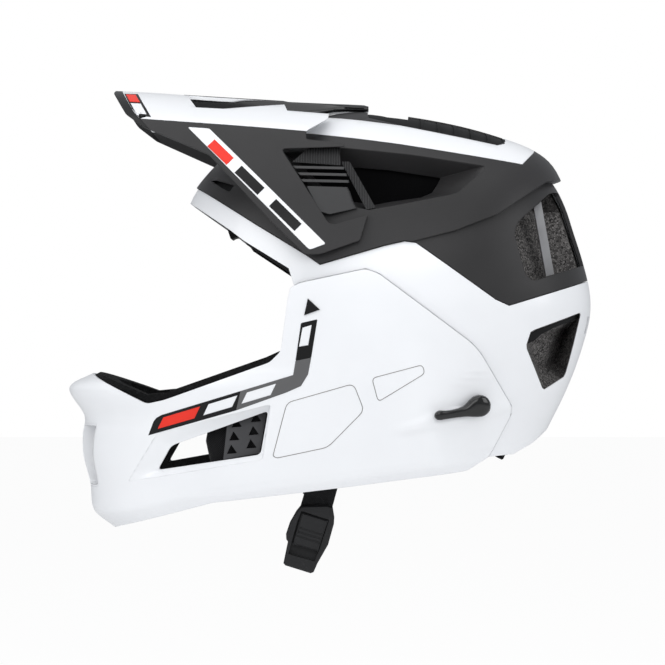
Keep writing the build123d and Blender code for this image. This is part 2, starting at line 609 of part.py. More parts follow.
def make_visor():
    skin = visor_form(0.0) - visor_form(VISOR_WALL)
    skin = skin & across(visor_side_outline_shares)
    window = both_sides(side_prism(visor_window_shares, VISOR_CUT_X, SHELL_HALF_WIDTH + OVERRUN))
    top_vent = both_sides(plan_prism(visor_top_vent_shares, 1.0, 1.6))
    skin = skin - window - top_vent - spine_form(FIT)
    bore_y, bore_z = side_points([visor_pivot_share])[0]
    bore = extrude(Plane.YZ * (Pos(bore_y, bore_z) * Circle(PIVOT_RADIUS + FIT)), amount=REACH, both=True)
    band = across(visor_trim_band_shares)
    boss_out = visor_side_x(bore_z - PIVOT_BOSS_RADIUS) + FIT
    boss_in = visor_side_x(bore_z) - VISOR_WALL / 2
    boss = extrude(Plane.YZ.offset(boss_in) * (Pos(bore_y, bore_z) * Circle(PIVOT_BOSS_RADIUS)),
                   amount=boss_out - boss_in)
    parts["visor_shell"] = skin - band + both_sides(boss) - bore
    parts["visor_edge"] = skin & across(visor_trim_band_shares, grow=-FIT / 2)
    louvre_inset = VISOR_WALL + FIT
    louvres = visor_form(louvre_inset) - visor_form(louvre_inset + LOUVRE_WALL)
    louvres = louvres & both_sides(side_prism(visor_louvre_shares, VISOR_CUT_X, SHELL_HALF_WIDTH + OVERRUN))
    slots = []
    for row in range(LOUVRE_SLOTS):
        low = visor_first_slot_share + row * visor_slot_pitch_share
        high = low + visor_slot_pitch_share * visor_slot_open_share
        outline = [
            (visor_slot_front_share, low), (visor_slot_rear_share, low - visor_slot_fall_share),
            (visor_slot_rear_share, high - visor_slot_fall_share), (visor_slot_front_share, high),
        ]
        slots.append(both_sides(side_prism(outline, VISOR_CUT_X, SHELL_HALF_WIDTH + OVERRUN)))
    crown = clear_of_crown(LOUVRE_CLEARANCE)
    parts["visor_louvres"] = louvres - slots - bore - crown - tilted_back(crown)


def clear_of_crown(gap):
    """The upper shell's outer form, with the room that the visor's pieces keep from it."""
    return envelope(cap_profile_shares, SHELL_HALF_WIDTH, -CAP_PROUD - gap)


def tilted_back(form):
    """A form of the shell as the fully tilted visor meets it."""
    pivot_y, pivot_z = side_points([visor_pivot_share])[0]
    return Pos(0, pivot_y, pivot_z) * Rot(VISOR_TILT, 0, 0) * Pos(0, -pivot_y, -pivot_z) * form


def channel_form(grow):
    """The recess along the crown, which lets the visor's spine slide back as the visor tilts up."""
    pivot_y, pivot_z = side_points([visor_pivot_share])[0]
    half = CHANNEL_HALF_WIDTH + grow
    rear = pivot_y + CHANNEL_REAR + grow
    block = Pos(0, (pivot_y + rear) / 2, pivot_z + REACH / 2) * Box(2 * half, rear - pivot_y, REACH)
    drum = Pos(0, pivot_y, pivot_z) * Rot(0, 90, 0) * Cylinder(CHANNEL_RADIUS - grow, REACH)
    return block - drum


def spine_form(grow=0.0):
    wires = []
    last = len(spine_sections_shares) - 1
    for index, (y, top, low, half_top, half_low) in enumerate(spine_sections_shares):
        beyond = {0: -grow, last: grow}.get(index, 0.0)
        z_top = HEAD_RISE * top + grow
        z_low = HEAD_RISE * low - grow
        x_top = HEAD_DEPTH * half_top + grow
        x_low = HEAD_DEPTH * half_low + grow
        plane = Plane(origin=(0, HEAD_DEPTH * y + beyond, 0), x_dir=(1, 0, 0), z_dir=(0, -1, 0))
        outline = Polyline((-x_low, z_low), (-x_top, z_top), (x_top, z_top), (x_low, z_low), close=True)
        wires.append(plane * outline.wire())
    return Solid.make_loft(wires, ruled=True)


def make_visor_spine():
    """The air duct along the middle of the visor, with the tail that slides over the crown."""
    duct = spine_form()
    for share in spine_scoop_stations_share:
        place = Pos(0, HEAD_DEPTH * share, HEAD_RISE * spine_scoop_height_share)
        duct = duct - place * Rot(SCOOP_TILT, 0, 0) * Box(SCOOP_WIDTH, SCOOP_LENGTH, SCOOP_HEIGHT)
    parts["visor_spine"] = duct


def arm_point(y_share, z_share):
    """A point of an arm's outer face, and the way that the face looks there."""
    y = HEAD_DEPTH * y_share
    z = HEAD_RISE * z_share
    step = SLOPE_STEP
    width = shell_width(y, z)
    slope_y = (shell_width(y + step, z) - shell_width(y - step, z)) / (2 * step)
    slope_z = (shell_width(y, z + step) - shell_width(y, z - step)) / (2 * step)
    return Vector(width + CHIN_PROUD, y, z), Vector(1, -slope_y, -slope_z).normalized()


def lever_plane():
    """The plane of the left lever: its origin is the pivot, and its X axis runs to the finger tip."""
    pivot, normal = arm_point(*lever_pivot_share)
    tip = arm_point(*lever_tip_share)[0]
    return Plane(origin=pivot + normal * LEVER_LIFT, x_dir=tip - pivot, z_dir=normal)


def make_levers():
    plane = lever_plane()
    waist = LEVER_HUB_RADIUS * 0.55
    tip = LEVER_TIP_WIDTH / 2
    arm = make_face(Polyline(
        (0, -LEVER_HUB_RADIUS * 0.95), (LEVER_LENGTH * 0.42, -waist), (LEVER_LENGTH - tip, -tip),
        (LEVER_LENGTH - tip, tip), (LEVER_LENGTH * 0.42, waist), (0, LEVER_HUB_RADIUS * 0.95), close=True))
    outline = Circle(LEVER_HUB_RADIUS) + arm + Pos(LEVER_LENGTH - tip, 0) * Circle(tip)
    hub = extrude(Circle(LEVER_HUB_RADIUS), amount=LEVER_HUB_HEIGHT)
    lever = extrude(outline, amount=LEVER_THICKNESS) + hub
    grip = Pos(LEVER_LENGTH * 0.80, 0, LEVER_THICKNESS) * Box(
        LEVER_LENGTH * 0.22, LEVER_TIP_WIDTH * 0.7, LEVER_THICKNESS * 0.5)
    recess = Pos(0, 0, LEVER_HUB_HEIGHT) * Cylinder(SCREW_HEAD_RADIUS + FIT, LEVER_THICKNESS)
    lever = lever + grip - recess
    lever = lever - Cylinder(LEVER_PIN_RADIUS + FIT, LEVER_HUB_HEIGHT * 3)
    pin_low = -LEVER_LIFT - LEVER_PIN_DEPTH
    pin_length = LEVER_HUB_HEIGHT - pin_low
    pin = Pos(0, 0, pin_low + pin_length / 2) * Cylinder(LEVER_PIN_RADIUS, pin_length)
    head_middle = LEVER_HUB_HEIGHT - LEVER_THICKNESS / 4 + FIT
    head = Pos(0, 0, head_middle) * Cylinder(SCREW_HEAD_RADIUS, LEVER_THICKNESS / 2)
    socket = RegularPolygon(SCREW_HEAD_RADIUS * 0.5, 6)
    socket_cut = Pos(0, 0, head_middle) * extrude(socket, amount=LEVER_THICKNESS)
    pin = pin + head - socket_cut
    parts["lever_left"] = plane * lever
    parts["lever_right"] = mirrored(plane * lever)
    parts["lever_pin_left"] = plane * pin
    parts["lever_pin_right"] = mirrored(plane * pin)
    bore = plane * Pos(0, 0, pin_low / 2) * Cylinder(LEVER_PIN_RADIUS + 2 * FIT, -pin_low * 2)
    for name in ("chin_shell", "chin_liner"):
        parts[name] = parts[name] - both_sides(bore)
    ring_face = Circle(LEVER_HUB_RADIUS + CHIN_WALL / 2) - Circle(LEVER_PIN_RADIUS + 2 * FIT)
    ring = plane * Pos(0, 0, -LEVER_LIFT) * extrude(ring_face, amount=LEVER_LIFT - FIT)
    ring = ring - chin_form(-FIT)
    parts["lever_washers"] = both_sides(ring)


def socket_plane():
    """Where the left lever's pin meets the pocket's floor; X is the way that the arm draws off."""
    plane = lever_plane()
    along = draw_direction()
    across_way = Vector(0, -along.Z, along.Y)
    low, high = pocket_places_shares[4:6]
    low_width, high_width = pocket_half_widths_shares[4:6]
    slope = SHELL_HALF_WIDTH * (high_width - low_width) / (HEAD_DEPTH * (high - low))
    normal = (Vector(1, 0, 0) - across_way * slope).normalized()
    on_floor = Vector(SHELL_HALF_WIDTH * low_width, 0, 0) + across_way * (HEAD_DEPTH * low)
    reach = (on_floor - plane.origin).dot(normal) / plane.z_dir.dot(normal)
    return Plane(origin=plane.origin + plane.z_dir * reach, x_dir=along, z_dir=normal)


def make_lever_sockets():
    """The steel forks in the pocket floors that the lever pins slide into."""
    plane = socket_plane()
    half_slot = LEVER_PIN_RADIUS + SOCKET_PLAY
    block = Pos(0, 0, -SOCKET_DEPTH / 2) * Box(SOCKET_LENGTH, 2 * half_slot + 2 * SOCKET_SIDE, SOCKET_DEPTH)
    slot_height = 2 * (SOCKET_DEPTH - SOCKET_FLOOR)
    slot = Pos(SOCKET_LENGTH / 2, 0, 0) * Box(SOCKET_LENGTH, 2 * half_slot, slot_height)
    slot = slot + Cylinder(half_slot, slot_height)
    parts["lever_sockets"] = both_sides(plane * (block - slot))
    seat = Pos(0, 0, -SOCKET_DEPTH / 2) * Box(
        SOCKET_LENGTH + 2 * FIT, 2 * (half_slot + SOCKET_SIDE + FIT), SOCKET_DEPTH + 2 * FIT)
    lane = Pos(REACH / 2, 0, 0) * Box(REACH, 2 * half_slot, 2 * SOCKET_DEPTH)
    cut = both_sides(plane * (seat + lane))
    parts["lower_shell"] = parts["lower_shell"] - cut
    parts["foam_liner"] = parts["foam_liner"] - cut


def cushion(outline_shares, rows):
    """A sewn cushion: side outlines that draw in towards its face, at distances from the middle."""
    face = make_face(Polyline(*side_points(outline_shares), close=True))
    wires = []
    for x, draw_in in rows:
        drawn = offset(face, amount=-draw_in, kind=Kind.INTERSECTION) if draw_in else face
        wires.append(Plane.YZ.offset(x) * drawn.wires()[0])
    return Solid.make_loft(wires, ruled=True)


def channels(outline_shares, x, lines_shares, depth):
    """The sewn channels across a cushion's face."""
    cuts = []
    for line in lines_shares:
        (ya, za), (yb, zb) = side_points(line)
        length = hypot(yb - ya, zb - za)
        turn = degrees(atan2(zb - za, yb - ya))
        bar = Rot(0, 0, turn) * Box(length, SEAM_CHANNEL, 2 * depth)
        cuts.append(Plane.YZ.offset(x) * Pos((ya + yb) / 2, (za + zb) / 2, 0) * bar)
    return cuts


def make_side_pads():
    face_x = CHEEK_PAD_FACE
    pad = cushion(cheek_pad_shares, [
        (face_x, PAD_CROWN * 1.6), (face_x + PAD_CROWN * 0.35, PAD_CROWN * 0.7),
        (face_x + PAD_CROWN, 0.0), (CHIN_CAVITY_HALF_WIDTH + CHIN_DEPTH, 0.0)])
    pad = pad & mouth_space(-FIT)
    pad = pad - channels(cheek_pad_shares, face_x, cheek_seam_shares, PAD_CROWN * 0.5)
    parts["cheek_pad_left"] = pad
    parts["cheek_pad_right"] = mirrored(pad)
    panel = side_prism(cheek_panel_shares, CHIN_CAVITY_HALF_WIDTH - PANEL_SET_IN,
                       CHIN_CAVITY_HALF_WIDTH - PANEL_SET_IN + PANEL_WALL, grow=-FIT)
    holes = []
    hole_from = Plane.YZ.offset(CHIN_CAVITY_HALF_WIDTH - CHIN_DEPTH)
    for row in range(3):
        for column in range(2):
            first, along, down = panel_hole_first_share, panel_hole_column_share, panel_hole_row_share
            y = HEAD_DEPTH * (first[0] + along[0] * column + down[0] * row)
            z = HEAD_RISE * (first[1] + along[1] * column + down[1] * row)
            hole = make_face(Polyline(
                (y - PANEL_HOLE * 0.6, z - PANEL_HOLE * 0.45), (y + PANEL_HOLE * 0.6, z - PANEL_HOLE * 0.35),
                (y - PANEL_HOLE * 0.1, z + PANEL_HOLE * 0.65), close=True))
            holes.append(extrude(hole_from * hole, amount=2 * CHIN_DEPTH))
    parts["cheek_panels"] = both_sides(panel - holes)
    ear = cushion(ear_pad_shares, [
        (EAR_PAD_FACE, PAD_CROWN * 1.4), (EAR_PAD_FACE + PAD_CROWN * 0.35, PAD_CROWN * 0.6),
        (EAR_PAD_FACE + PAD_CROWN, 0.0), (SHELL_HALF_WIDTH, 0.0)])
    ear = ear & envelope(cavity_profile_shares, HEAD_HALF_WIDTH, FIT, smooth=False)
    ear_y, ear_z = side_points([ear_hole_share])[0]
    ear_hole = Plane.YZ.offset(EAR_PAD_FACE - PAD_CROWN) * (Pos(ear_y, ear_z) * Circle(EAR_HOLE_RADIUS))
    ear = ear - extrude(ear_hole, amount=SHELL_HALF_WIDTH)
    slot = strap_outline(FIT * 3)
    ear = ear - extrude(Plane.YZ.offset(STRAP_X - STRAP_THICKNESS / 2 - FIT) * slot,
                        amount=SHELL_HALF_WIDTH)
    parts["ear_pad_left"] = biggest(ear)
    parts["ear_pad_right"] = mirrored(biggest(ear))


def biggest(shape):
    return max(shape.solids(), key=lambda solid: solid.volume)


def make_lining():
    """The comfort pads of the crown, the brow and the nape."""
    against = envelope(cavity_profile_shares, HEAD_HALF_WIDTH, FIT, smooth=False)
    face = envelope(cavity_profile_shares, HEAD_HALF_WIDTH, FIT + PAD_THICKNESS, smooth=False)
    sewn = envelope(cavity_profile_shares, HEAD_HALF_WIDTH, FIT + PAD_THICKNESS * 0.55, smooth=False)
    layer = against - face
    groove_layer = sewn - face
    crown = layer & across(crown_pad_shares) & plan_block(CROWN_PAD_HALF_WIDTH)
    grooves = []
    for y_share in crown_seams_share:
        grooves.append(Pos(0, HEAD_DEPTH * y_share, REACH / 2) * Box(
            2 * CROWN_PAD_HALF_WIDTH, SEAM_CHANNEL, REACH))
    for side in (-1, 1):
        grooves.append(Pos(side * CROWN_PAD_HALF_WIDTH * 0.36, 0, REACH / 2) * Box(
            SEAM_CHANNEL, REACH, REACH))
    for groove in grooves:
        crown = crown - (groove & groove_layer)
    parts["crown_pad"] = crown
    brow = layer & across(brow_pad_shares) & plan_block(BROW_PAD_HALF_WIDTH)
    for side in (-1, 0, 1):
        groove = Pos(side * BROW_PAD_HALF_WIDTH * 0.5, -REACH / 2, REACH / 2) * Box(
            SEAM_CHANNEL, REACH, REACH)
        brow = brow - (groove & groove_layer)
    parts["brow_pad"] = brow
    nape = layer & across(neck_roll_shares) & plan_block(SHELL_HALF_WIDTH)
    middle = Pos(0, REACH / 2, -REACH / 2) * Box(2 * CRADLE_HALF_WIDTH + 4 * FIT, REACH, REACH)
    parts["neck_roll"] = nape - middle


def plan_block(half_width):
    return Box(2 * half_width, 2 * REACH, 2 * REACH)


def strap_outline(grow):
    """The outline of one side strap: two branches round the ear that meet below it."""
    join_y, join_z = side_points([strap_join_share])[0]
    foot_y, foot_z = side_points([strap_foot_share])[0]
    bands = []
    for y, z in side_points(strap_anchor_shares) + [(foot_y, foot_z)]:
        length = hypot(join_y - y, join_z - z)
        turn = degrees(atan2(join_z - z, join_y - y))
        bands.append(Pos((join_y + y) / 2, (join_z + z) / 2) * Rot(0, 0, turn) * Rectangle(
            length + 2 * grow, STRAP_WIDTH + 2 * grow))
    ends = [Pos(y, z) * Circle(STRAP_WIDTH / 2 + grow) for y, z in side_points(strap_anchor_shares)]
    join = Pos(join_y, join_z) * Circle(STRAP_WIDTH / 2 + grow)
    return bands[0] + bands[1] + bands[2] + ends[0] + ends[1] + join


def make_straps():
    inner = STRAP_X - STRAP_THICKNESS / 2
    side = extrude(Plane.YZ.offset(inner) * strap_outline(0.0), amount=STRAP_THICKNESS)
    parts["strap_left"] = side
    foot_y, foot_z = side_points([strap_foot_share])[0]
    low = HEAD_RISE * strap_low_share
    start = (-STRAP_X, HEAD_RISE * strap_join_share[1])
    path = FilletPolyline(
        start, (-STRAP_X, low), (STRAP_X - BUCKLE_THICKNESS, low),
        (STRAP_X - BUCKLE_THICKNESS, low + STRAP_BEND * 1.3), radius=STRAP_BEND)
    ribbon = trace(path, line_width=STRAP_THICKNESS)
    plane = Plane(origin=(0, foot_y, 0), x_dir=(1, 0, 0), z_dir=(0, -1, 0))
    chin_band = extrude(plane * ribbon, amount=STRAP_WIDTH / 2, both=True)
    parts["strap_right"] = mirrored(side) + chin_band
    anchors = []
    wall = envelope(cavity_profile_shares, HEAD_HALF_WIDTH, FIT, smooth=False)
    for y, z in side_points(strap_anchor_shares):
        block = Plane.YZ.offset(STRAP_X + STRAP_THICKNESS / 2 + FIT) * Pos(y, z) * extrude(
            Circle(ANCHOR_RADIUS), amount=HEAD_HALF_WIDTH)
        anchors.append(block & wall)
    parts["strap_anchors"] = both_sides(anchors[0] + anchors[1])


def buckle_plane():
    middle_y, middle_z = side_points([buckle_middle_share])[0]
    turn = radians(BUCKLE_TILT)
    return Plane(origin=(STRAP_X, middle_y, middle_z), x_dir=(0, cos(turn), -sin(turn)), z_dir=(1, 0, 0))


def make_buckle():
    """A magnetic buckle: a frame on the short strap, and a slide that is pushed down to open it."""
    plane = buckle_plane()
    half_w = BUCKLE_WIDTH / 2
    half_l = BUCKLE_LENGTH / 2
    outline = make_face(Polyline(
        (-half_w * 0.80, half_l), (half_w * 0.80, half_l), (half_w, half_l * 0.55),
        (half_w, -half_l * 0.1), (half_w * 0.74, -half_l), (-half_w * 0.74, -half_l),
        (-half_w, -half_l * 0.1), (-half_w, half_l * 0.55), close=True))
    base = extrude(outline, amount=BUCKLE_THICKNESS / 2, both=True)
    pocket_top = half_l - BUCKLE_BAR
    pocket_low = -half_l + BUCKLE_BAR
    pocket = Pos(0, (pocket_top + pocket_low) / 2, BUCKLE_THICKNESS / 4) * Box(
        SLIDE_WIDTH + 2 * FIT, pocket_top - pocket_low, BUCKLE_THICKNESS / 2 + 2 * FIT)
    slot = Pos(0, half_l - BUCKLE_BAR - STRAP_THICKNESS * 1.5, 0) * Box(
        SLIDE_WIDTH * 0.9, STRAP_THICKNESS * 3, BUCKLE_THICKNESS * 2)
    frame = base - pocket - slot
    slide_length = pocket_top - pocket_low - SLIDE_TRAVEL - 2 * FIT
    slide_mid = pocket_top - FIT - slide_length / 2
    slide_height = BUCKLE_THICKNESS / 4 + FIT
    slide = Pos(0, slide_mid, slide_height) * Box(SLIDE_WIDTH, slide_length, BUCKLE_THICKNESS / 2)
    rib_pitch = slide_length / 8
    for row in range(3):
        y = slide_mid - slide_length / 2 + rib_pitch * (row + 1)
        rib = Box(SLIDE_WIDTH * 0.7, rib_pitch * 0.5, FIT * 3)
        slide = slide + Pos(0, y, BUCKLE_THICKNESS / 2 + FIT) * rib
    pit = Pos(0, slide_mid, FIT) * Cylinder(MAGNET_RADIUS + FIT, BUCKLE_THICKNESS / 2 + FIT)
    slide = slide - pit
    disc_height = BUCKLE_THICKNESS / 8 + 1.5 * FIT
    disc = Pos(0, slide_mid, disc_height) * Cylinder(MAGNET_RADIUS, BUCKLE_THICKNESS / 4)
    parts["buckle_frame"] = (plane * frame) - strap_room()
    parts["buckle_slide"] = plane * slide
    parts["buckle_magnet"] = plane * disc


def strap_room():
    """The room in the buckle for the strap that ends in it."""
    return extrude(Plane.YZ.offset(STRAP_X - STRAP_THICKNESS / 2 - FIT) * strap_outline(FIT),
                   amount=STRAP_THICKNESS + 2 * FIT)


def make_fit_system():
    """The cradle behind the head, with a dial whose pinion draws two racks together."""
    outer = envelope(cavity_profile_shares, HEAD_HALF_WIDTH, CRADLE_GAP, smooth=False)
    inner = envelope(cavity_profile_shares, HEAD_HALF_WIDTH, CRADLE_GAP + CRADLE_WALL, smooth=False)
    cradle = (outer - inner) & across(cradle_shares) & plan_block(CRADLE_HALF_WIDTH)
    for row in range(3):
        z = HEAD_RISE * (cradle_slot_share[0] + cradle_slot_share[1] * row)
        for side in (-1, 1):
            cradle = cradle - Pos(side * CRADLE_HALF_WIDTH * 0.5, REACH / 2, z) * Box(
                CRADLE_HALF_WIDTH * 0.62, REACH, CRADLE_SLOT_HEIGHT)
    dial_y, dial_z = side_points([dial_share])[0]
    plane = Plane(origin=(0, dial_y, dial_z), x_dir=(1, 0, 0), z_dir=(0, 1, 0))
    case = Box(2 * CASE_HALF_WIDTH, CASE_HEIGHT, CASE_DEPTH)
    room = Box(2 * CASE_HALF_WIDTH + CASE_WALL, CASE_HEIGHT - 2 * CASE_WALL, CASE_DEPTH - 2 * CASE_WALL)
    bore = Pos(0, 0, CASE_DEPTH / 2) * Cylinder(DIAL_SHAFT_RADIUS + FIT, CASE_DEPTH)
    case = case - room - bore
    parts["fit_case"] = plane * case
    window = Box(2 * (RACK_REACH + CRADLE_WALL), CASE_HEIGHT + 2 * FIT, CASE_DEPTH * 3)
    around_dial = Cylinder(DIAL_RADIUS + CRADLE_WALL, CASE_DEPTH * 6)
    parts["fit_cradle"] = biggest(cradle - plane * window - plane * around_dial)
    pinion = pinion_form()
    pinion_depth = CASE_DEPTH - 2 * CASE_WALL - 2 * FIT
    shaft = Pos(0, 0, (CASE_DEPTH / 2 + FIT) / 2) * Cylinder(DIAL_SHAFT_RADIUS, CASE_DEPTH / 2 + FIT)
    knob = dial_form()
    dial = extrude(pinion, amount=pinion_depth / 2, both=True) + shaft
    dial = dial + Pos(0, 0, CASE_DEPTH / 2 + FIT) * extrude(knob, amount=DIAL_DEPTH)
    parts["fit_dial"] = plane * dial
    for name, side in (("rack_left", 1), ("rack_right", -1)):
        rack = extrude(rack_form(), amount=pinion_depth / 2, both=True)
        if side < 0:
            rack = Rot(0, 0, 180) * rack
        parts[name] = plane * rack
    recess_height = 2 * (DIAL_RADIUS + CRADLE_TRAVEL + 4 * FIT)
    recess = Pos(0, dial_y + CASE_DEPTH, dial_z) * Box(
        2 * DIAL_RECESS_HALF_WIDTH, 2 * (DIAL_DEPTH + CASE_DEPTH), recess_height)
    parts["foam_liner"] = parts["foam_liner"] - recess


def pinion_form():
    teeth = []
    corners = ((-0.29, PINION_ROOT), (-0.12, PINION_TIP), (0.12, PINION_TIP), (0.29, PINION_ROOT))
    for tooth in range(PINION_TEETH):
        for share, radius in corners:
            turn = 2 * pi * (tooth + share) / PINION_TEETH
            teeth.append((radius * cos(turn), radius * sin(turn)))
    return make_face(Polyline(*teeth, close=True))


def rack_form():
    """The left rack, above the pinion: a bar with teeth along its lower edge."""
    pitch = 2 * pi * PINION_PITCH / PINION_TEETH
    points = []
    low = PINION_ROOT + RACK_PLAY
    root = PINION_TIP + RACK_PLAY
    top = root + RACK_BACK
    for tooth in range(RACK_FIRST_TOOTH, RACK_FIRST_TOOTH + RACK_TEETH):
        x = pitch * tooth
        for share, height in ((-0.25, root), (-0.09, low), (0.09, low), (0.25, root)):
            points.append((x + pitch * share, height))
    left = points[0][0] - pitch * 0.2
    points = [(left, root)] + points + [(RACK_REACH, root), (RACK_REACH, top), (left, top)]
    return make_face(Polyline(*points, close=True))


def dial_form():
    points = []
    dip = DIAL_RADIUS - DIAL_GRIP
    for notch in range(DIAL_NOTCHES):
        for share, radius in ((0.0, DIAL_RADIUS), (0.30, DIAL_RADIUS), (0.50, dip), (0.80, dip)):
            turn = 2 * pi * (notch + share) / DIAL_NOTCHES
            points.append((radius * cos(turn), radius * sin(turn)))
    return make_face(Polyline(*points, close=True))


def make_small_pieces():
    strut = side_prism(rear_strut_shares, REAR_STRUT_X, REAR_STRUT_X + REAR_STRUT_WIDTH)
    strut = strut & side_prism(upper_vent_shares, 0.0, SHELL_HALF_WIDTH, grow=-FIT)
    parts["rear_struts"] = both_sides(strut)
    pivot_y, pivot_z = side_points([visor_pivot_share])[0]
    seat = shell_width(pivot_y, pivot_z) + CAP_PROUD - SHELL_WALL / 2
    at = Pos(pivot_y, pivot_z)
    head_from = visor_side_x(pivot_z - PIVOT_BOSS_RADIUS) + 2 * FIT
    head = extrude(Plane.YZ.offset(head_from) * (at * Circle(PIVOT_HEAD_RADIUS)), amount=PIVOT_HEAD_LIFT)
    pin_length = head_from + PIVOT_HEAD_LIFT - seat
    pin = extrude(Plane.YZ.offset(seat) * (at * Circle(PIVOT_RADIUS)), amount=pin_length)
    bore_face = Plane.YZ.offset(seat - FIT) * (at * Circle(PIVOT_RADIUS + FIT))
    seat_bore = extrude(bore_face, amount=SHELL_HALF_WIDTH)
    parts["upper_shell"] = parts["upper_shell"] - both_sides(seat_bore)
    coin_slot = Plane.YZ.offset(head_from + PIVOT_HEAD_LIFT) * at * Box(
        PIVOT_HEAD_RADIUS * 1.4, PIVOT_RADIUS * 0.4, PIVOT_HEAD_LIFT)
    parts["visor_pivots"] = both_sides(pin + head - coin_slot)
    plug = side_prism(plug_corner_shares, CHIN_CAVITY_HALF_WIDTH, SHELL_HALF_WIDTH + OVERRUN)
    skin = chin_form(-PLUG_PROUD) - chin_form(CHIN_WALL * 0.5)
    seat_cut = side_prism(plug_corner_shares, CHIN_CAVITY_HALF_WIDTH, SHELL_HALF_WIDTH + OVERRUN, grow=FIT)
    parts["arm_plugs"] = both_sides(plug & skin)
    parts["chin_shell"] = parts["chin_shell"] - both_sides(seat_cut - chin_form(CHIN_WALL * 0.5 + FIT))


def visor_side_x(z):
    """The visor's outer half width at a height, beside its pivots."""
    index = len(visor_stations_share) - 2
    crease_x = VISOR_CREASE_HALF_WIDTH * visor_crease_width_shares[index]
    crease_z = HEAD_RISE * visor_crease_shares[index]
    hem_z = HEAD_RISE * visor_hem_share
    share = (crease_z - z) / (crease_z - hem_z)
    chord = crease_x + (VISOR_HEM_HALF_WIDTH - crease_x) * share
    bulge = (visor_bulge_share - 0.5) * (VISOR_HEM_HALF_WIDTH - crease_x)
    return chord + 4 * bulge * share * (1 - share)


def part_liner():
    """The liner is moulded in four pieces that are bonded edge to edge."""
    liner = parts.pop("foam_liner")
    joint_z = HEAD_RISE * liner_joint_share
    joint_y = HEAD_DEPTH * liner_rear_joint_share
    above = Pos(0, 0, joint_z + REACH / 2) * Box(REACH, REACH, REACH)
    behind = Pos(0, joint_y + REACH / 2, joint_z - REACH / 2) * Box(REACH, REACH, REACH)
    left = Pos(REACH / 2, joint_y - REACH / 2, joint_z - REACH / 2) * Box(REACH, REACH, REACH)
    parts["foam_crown"] = liner & above
    parts["foam_rear"] = liner & behind
    parts["foam_left"] = liner & left
    parts["foam_right"] = liner & left.mirror(Plane.YZ)


def write_parts():
    os.makedirs("parts", exist_ok=True)
    for name, shape in parts.items():
        solids = shape.solids()
        export_step(shape if len(solids) > 1 else solids[0], f"parts/{name}.step")


parts = {}
make_shells()
make_liner()
make_chin_guard()
make_mouth_grille()
make_visor()
make_visor_spine()
make_levers()
make_lever_sockets()
make_side_pads()
make_lining()
make_straps()
make_buckle()
make_fit_system()
make_small_pieces()
part_liner()
write_parts()
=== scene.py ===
import math
from contextlib import contextmanager

import bmesh
import bpy
from mathutils import Matrix, Vector
from mathutils.bvhtree import BVHTree


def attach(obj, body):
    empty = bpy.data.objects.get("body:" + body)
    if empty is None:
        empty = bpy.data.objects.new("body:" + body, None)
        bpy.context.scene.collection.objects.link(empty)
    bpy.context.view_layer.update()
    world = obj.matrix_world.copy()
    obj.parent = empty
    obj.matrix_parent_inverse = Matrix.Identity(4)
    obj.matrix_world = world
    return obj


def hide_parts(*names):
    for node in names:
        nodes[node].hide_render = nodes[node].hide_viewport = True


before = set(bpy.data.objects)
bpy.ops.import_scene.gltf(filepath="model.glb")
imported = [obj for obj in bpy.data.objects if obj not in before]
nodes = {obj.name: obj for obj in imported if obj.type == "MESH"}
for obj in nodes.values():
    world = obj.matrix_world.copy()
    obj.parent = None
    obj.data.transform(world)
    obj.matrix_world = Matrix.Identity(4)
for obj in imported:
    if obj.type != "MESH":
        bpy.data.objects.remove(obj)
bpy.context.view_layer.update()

MM = 0.001

# ---------------------------------------------------------------- outlines, in millimetres (Y, Z)

body_profile = [
    (-120, -260), (-130, -150), (-137, -50), (-139, 10), (-136.5, 45), (-132, 66), (-121, 83),
    (-104, 99), (-82, 111), (-55, 120), (-25, 125.5), (0, 124.5), (28, 119.5), (54, 113),
    (79, 103.5), (97, 92.5), (110, 79), (118, 64), (124, 46), (130, 27), (134.5, 8), (135, -8),
    (131.5, -24), (125, -44), (117, -63), (107, -83), (98, -102), (90, -125), (84, -165), (80, -260),
]
cap_profile = body_profile[:12] + [
    (28, 120.5), (54, 115), (79, 107.5), (97, 100), (109, 90), (117, 74), (123, 55), (128, 34),
    (132, 12),
] + body_profile[21:]
body_outline = [
    (-170, 70), (-132, 66), (-103, 46), (-94, 39), (-65, 21), (-61.6, 10), (-56, -20), (-40, -60),
    (0, -95), (40, -105), (63, -100), (80.5, -99), (95, -92), (107, -83), (170, -83), (170, 170),
    (-170, 170),
]
shell_seam = [
    (-170, 100), (-126, 75), (-86, 49), (-52, 28), (-45, 23), (-4, 35), (9, 38), (16, 37),
    (67, 1), (76, -3), (136, 15), (170, 25),
]
cap_edge = [
    (-170, 20), (5, 20), (14, 38), (41, 45), (69, 56), (90, 70), (103, 78.5), (115, 81),
    (170, 82), (170, 170), (-170, 170),
]
side_vent = [
    (-68, 96.5), (-29, 99), (14, 94.5), (61, 87.5), (61, 85), (44, 70), (38, 68), (0, 60.4),
    (-14, 58), (-45, 64),
]
side_throat = [
    (-52, 84), (-25, 87), (0, 85), (33, 80), (31, 76), (27, 70), (20, 67), (0, 64), (-10, 62),
    (-36, 66),
]
upper_vent = [
    (106, 72), (82, 51), (79.6, 44), (84, 27), (87, 17), (92, 13), (128, 24), (170, 30), (170, 74),
]
lower_vent = [
    (90.3, -19.7), (93.2, -18.1), (124.5, -7.1), (125.3, -8.3), (120.6, -28.2), (116.1, -46.1),
    (114.6, -49.1), (100.7, -57), (99.2, -56.1), (88, -30.7), (87.7, -27.7),
]
lower_floor = [
    (95, -25), (97.5, -23.8), (117.5, -17), (117.9, -18.2), (114, -30), (109.8, -40.5),
    (108.9, -41.4), (98.5, -42.4), (97.5, -42), (93.2, -34), (93.4, -29.5),
]
rear_slot = [(116, -9.6), (140, -9.6), (140, -20.5), (116, -20.5)]
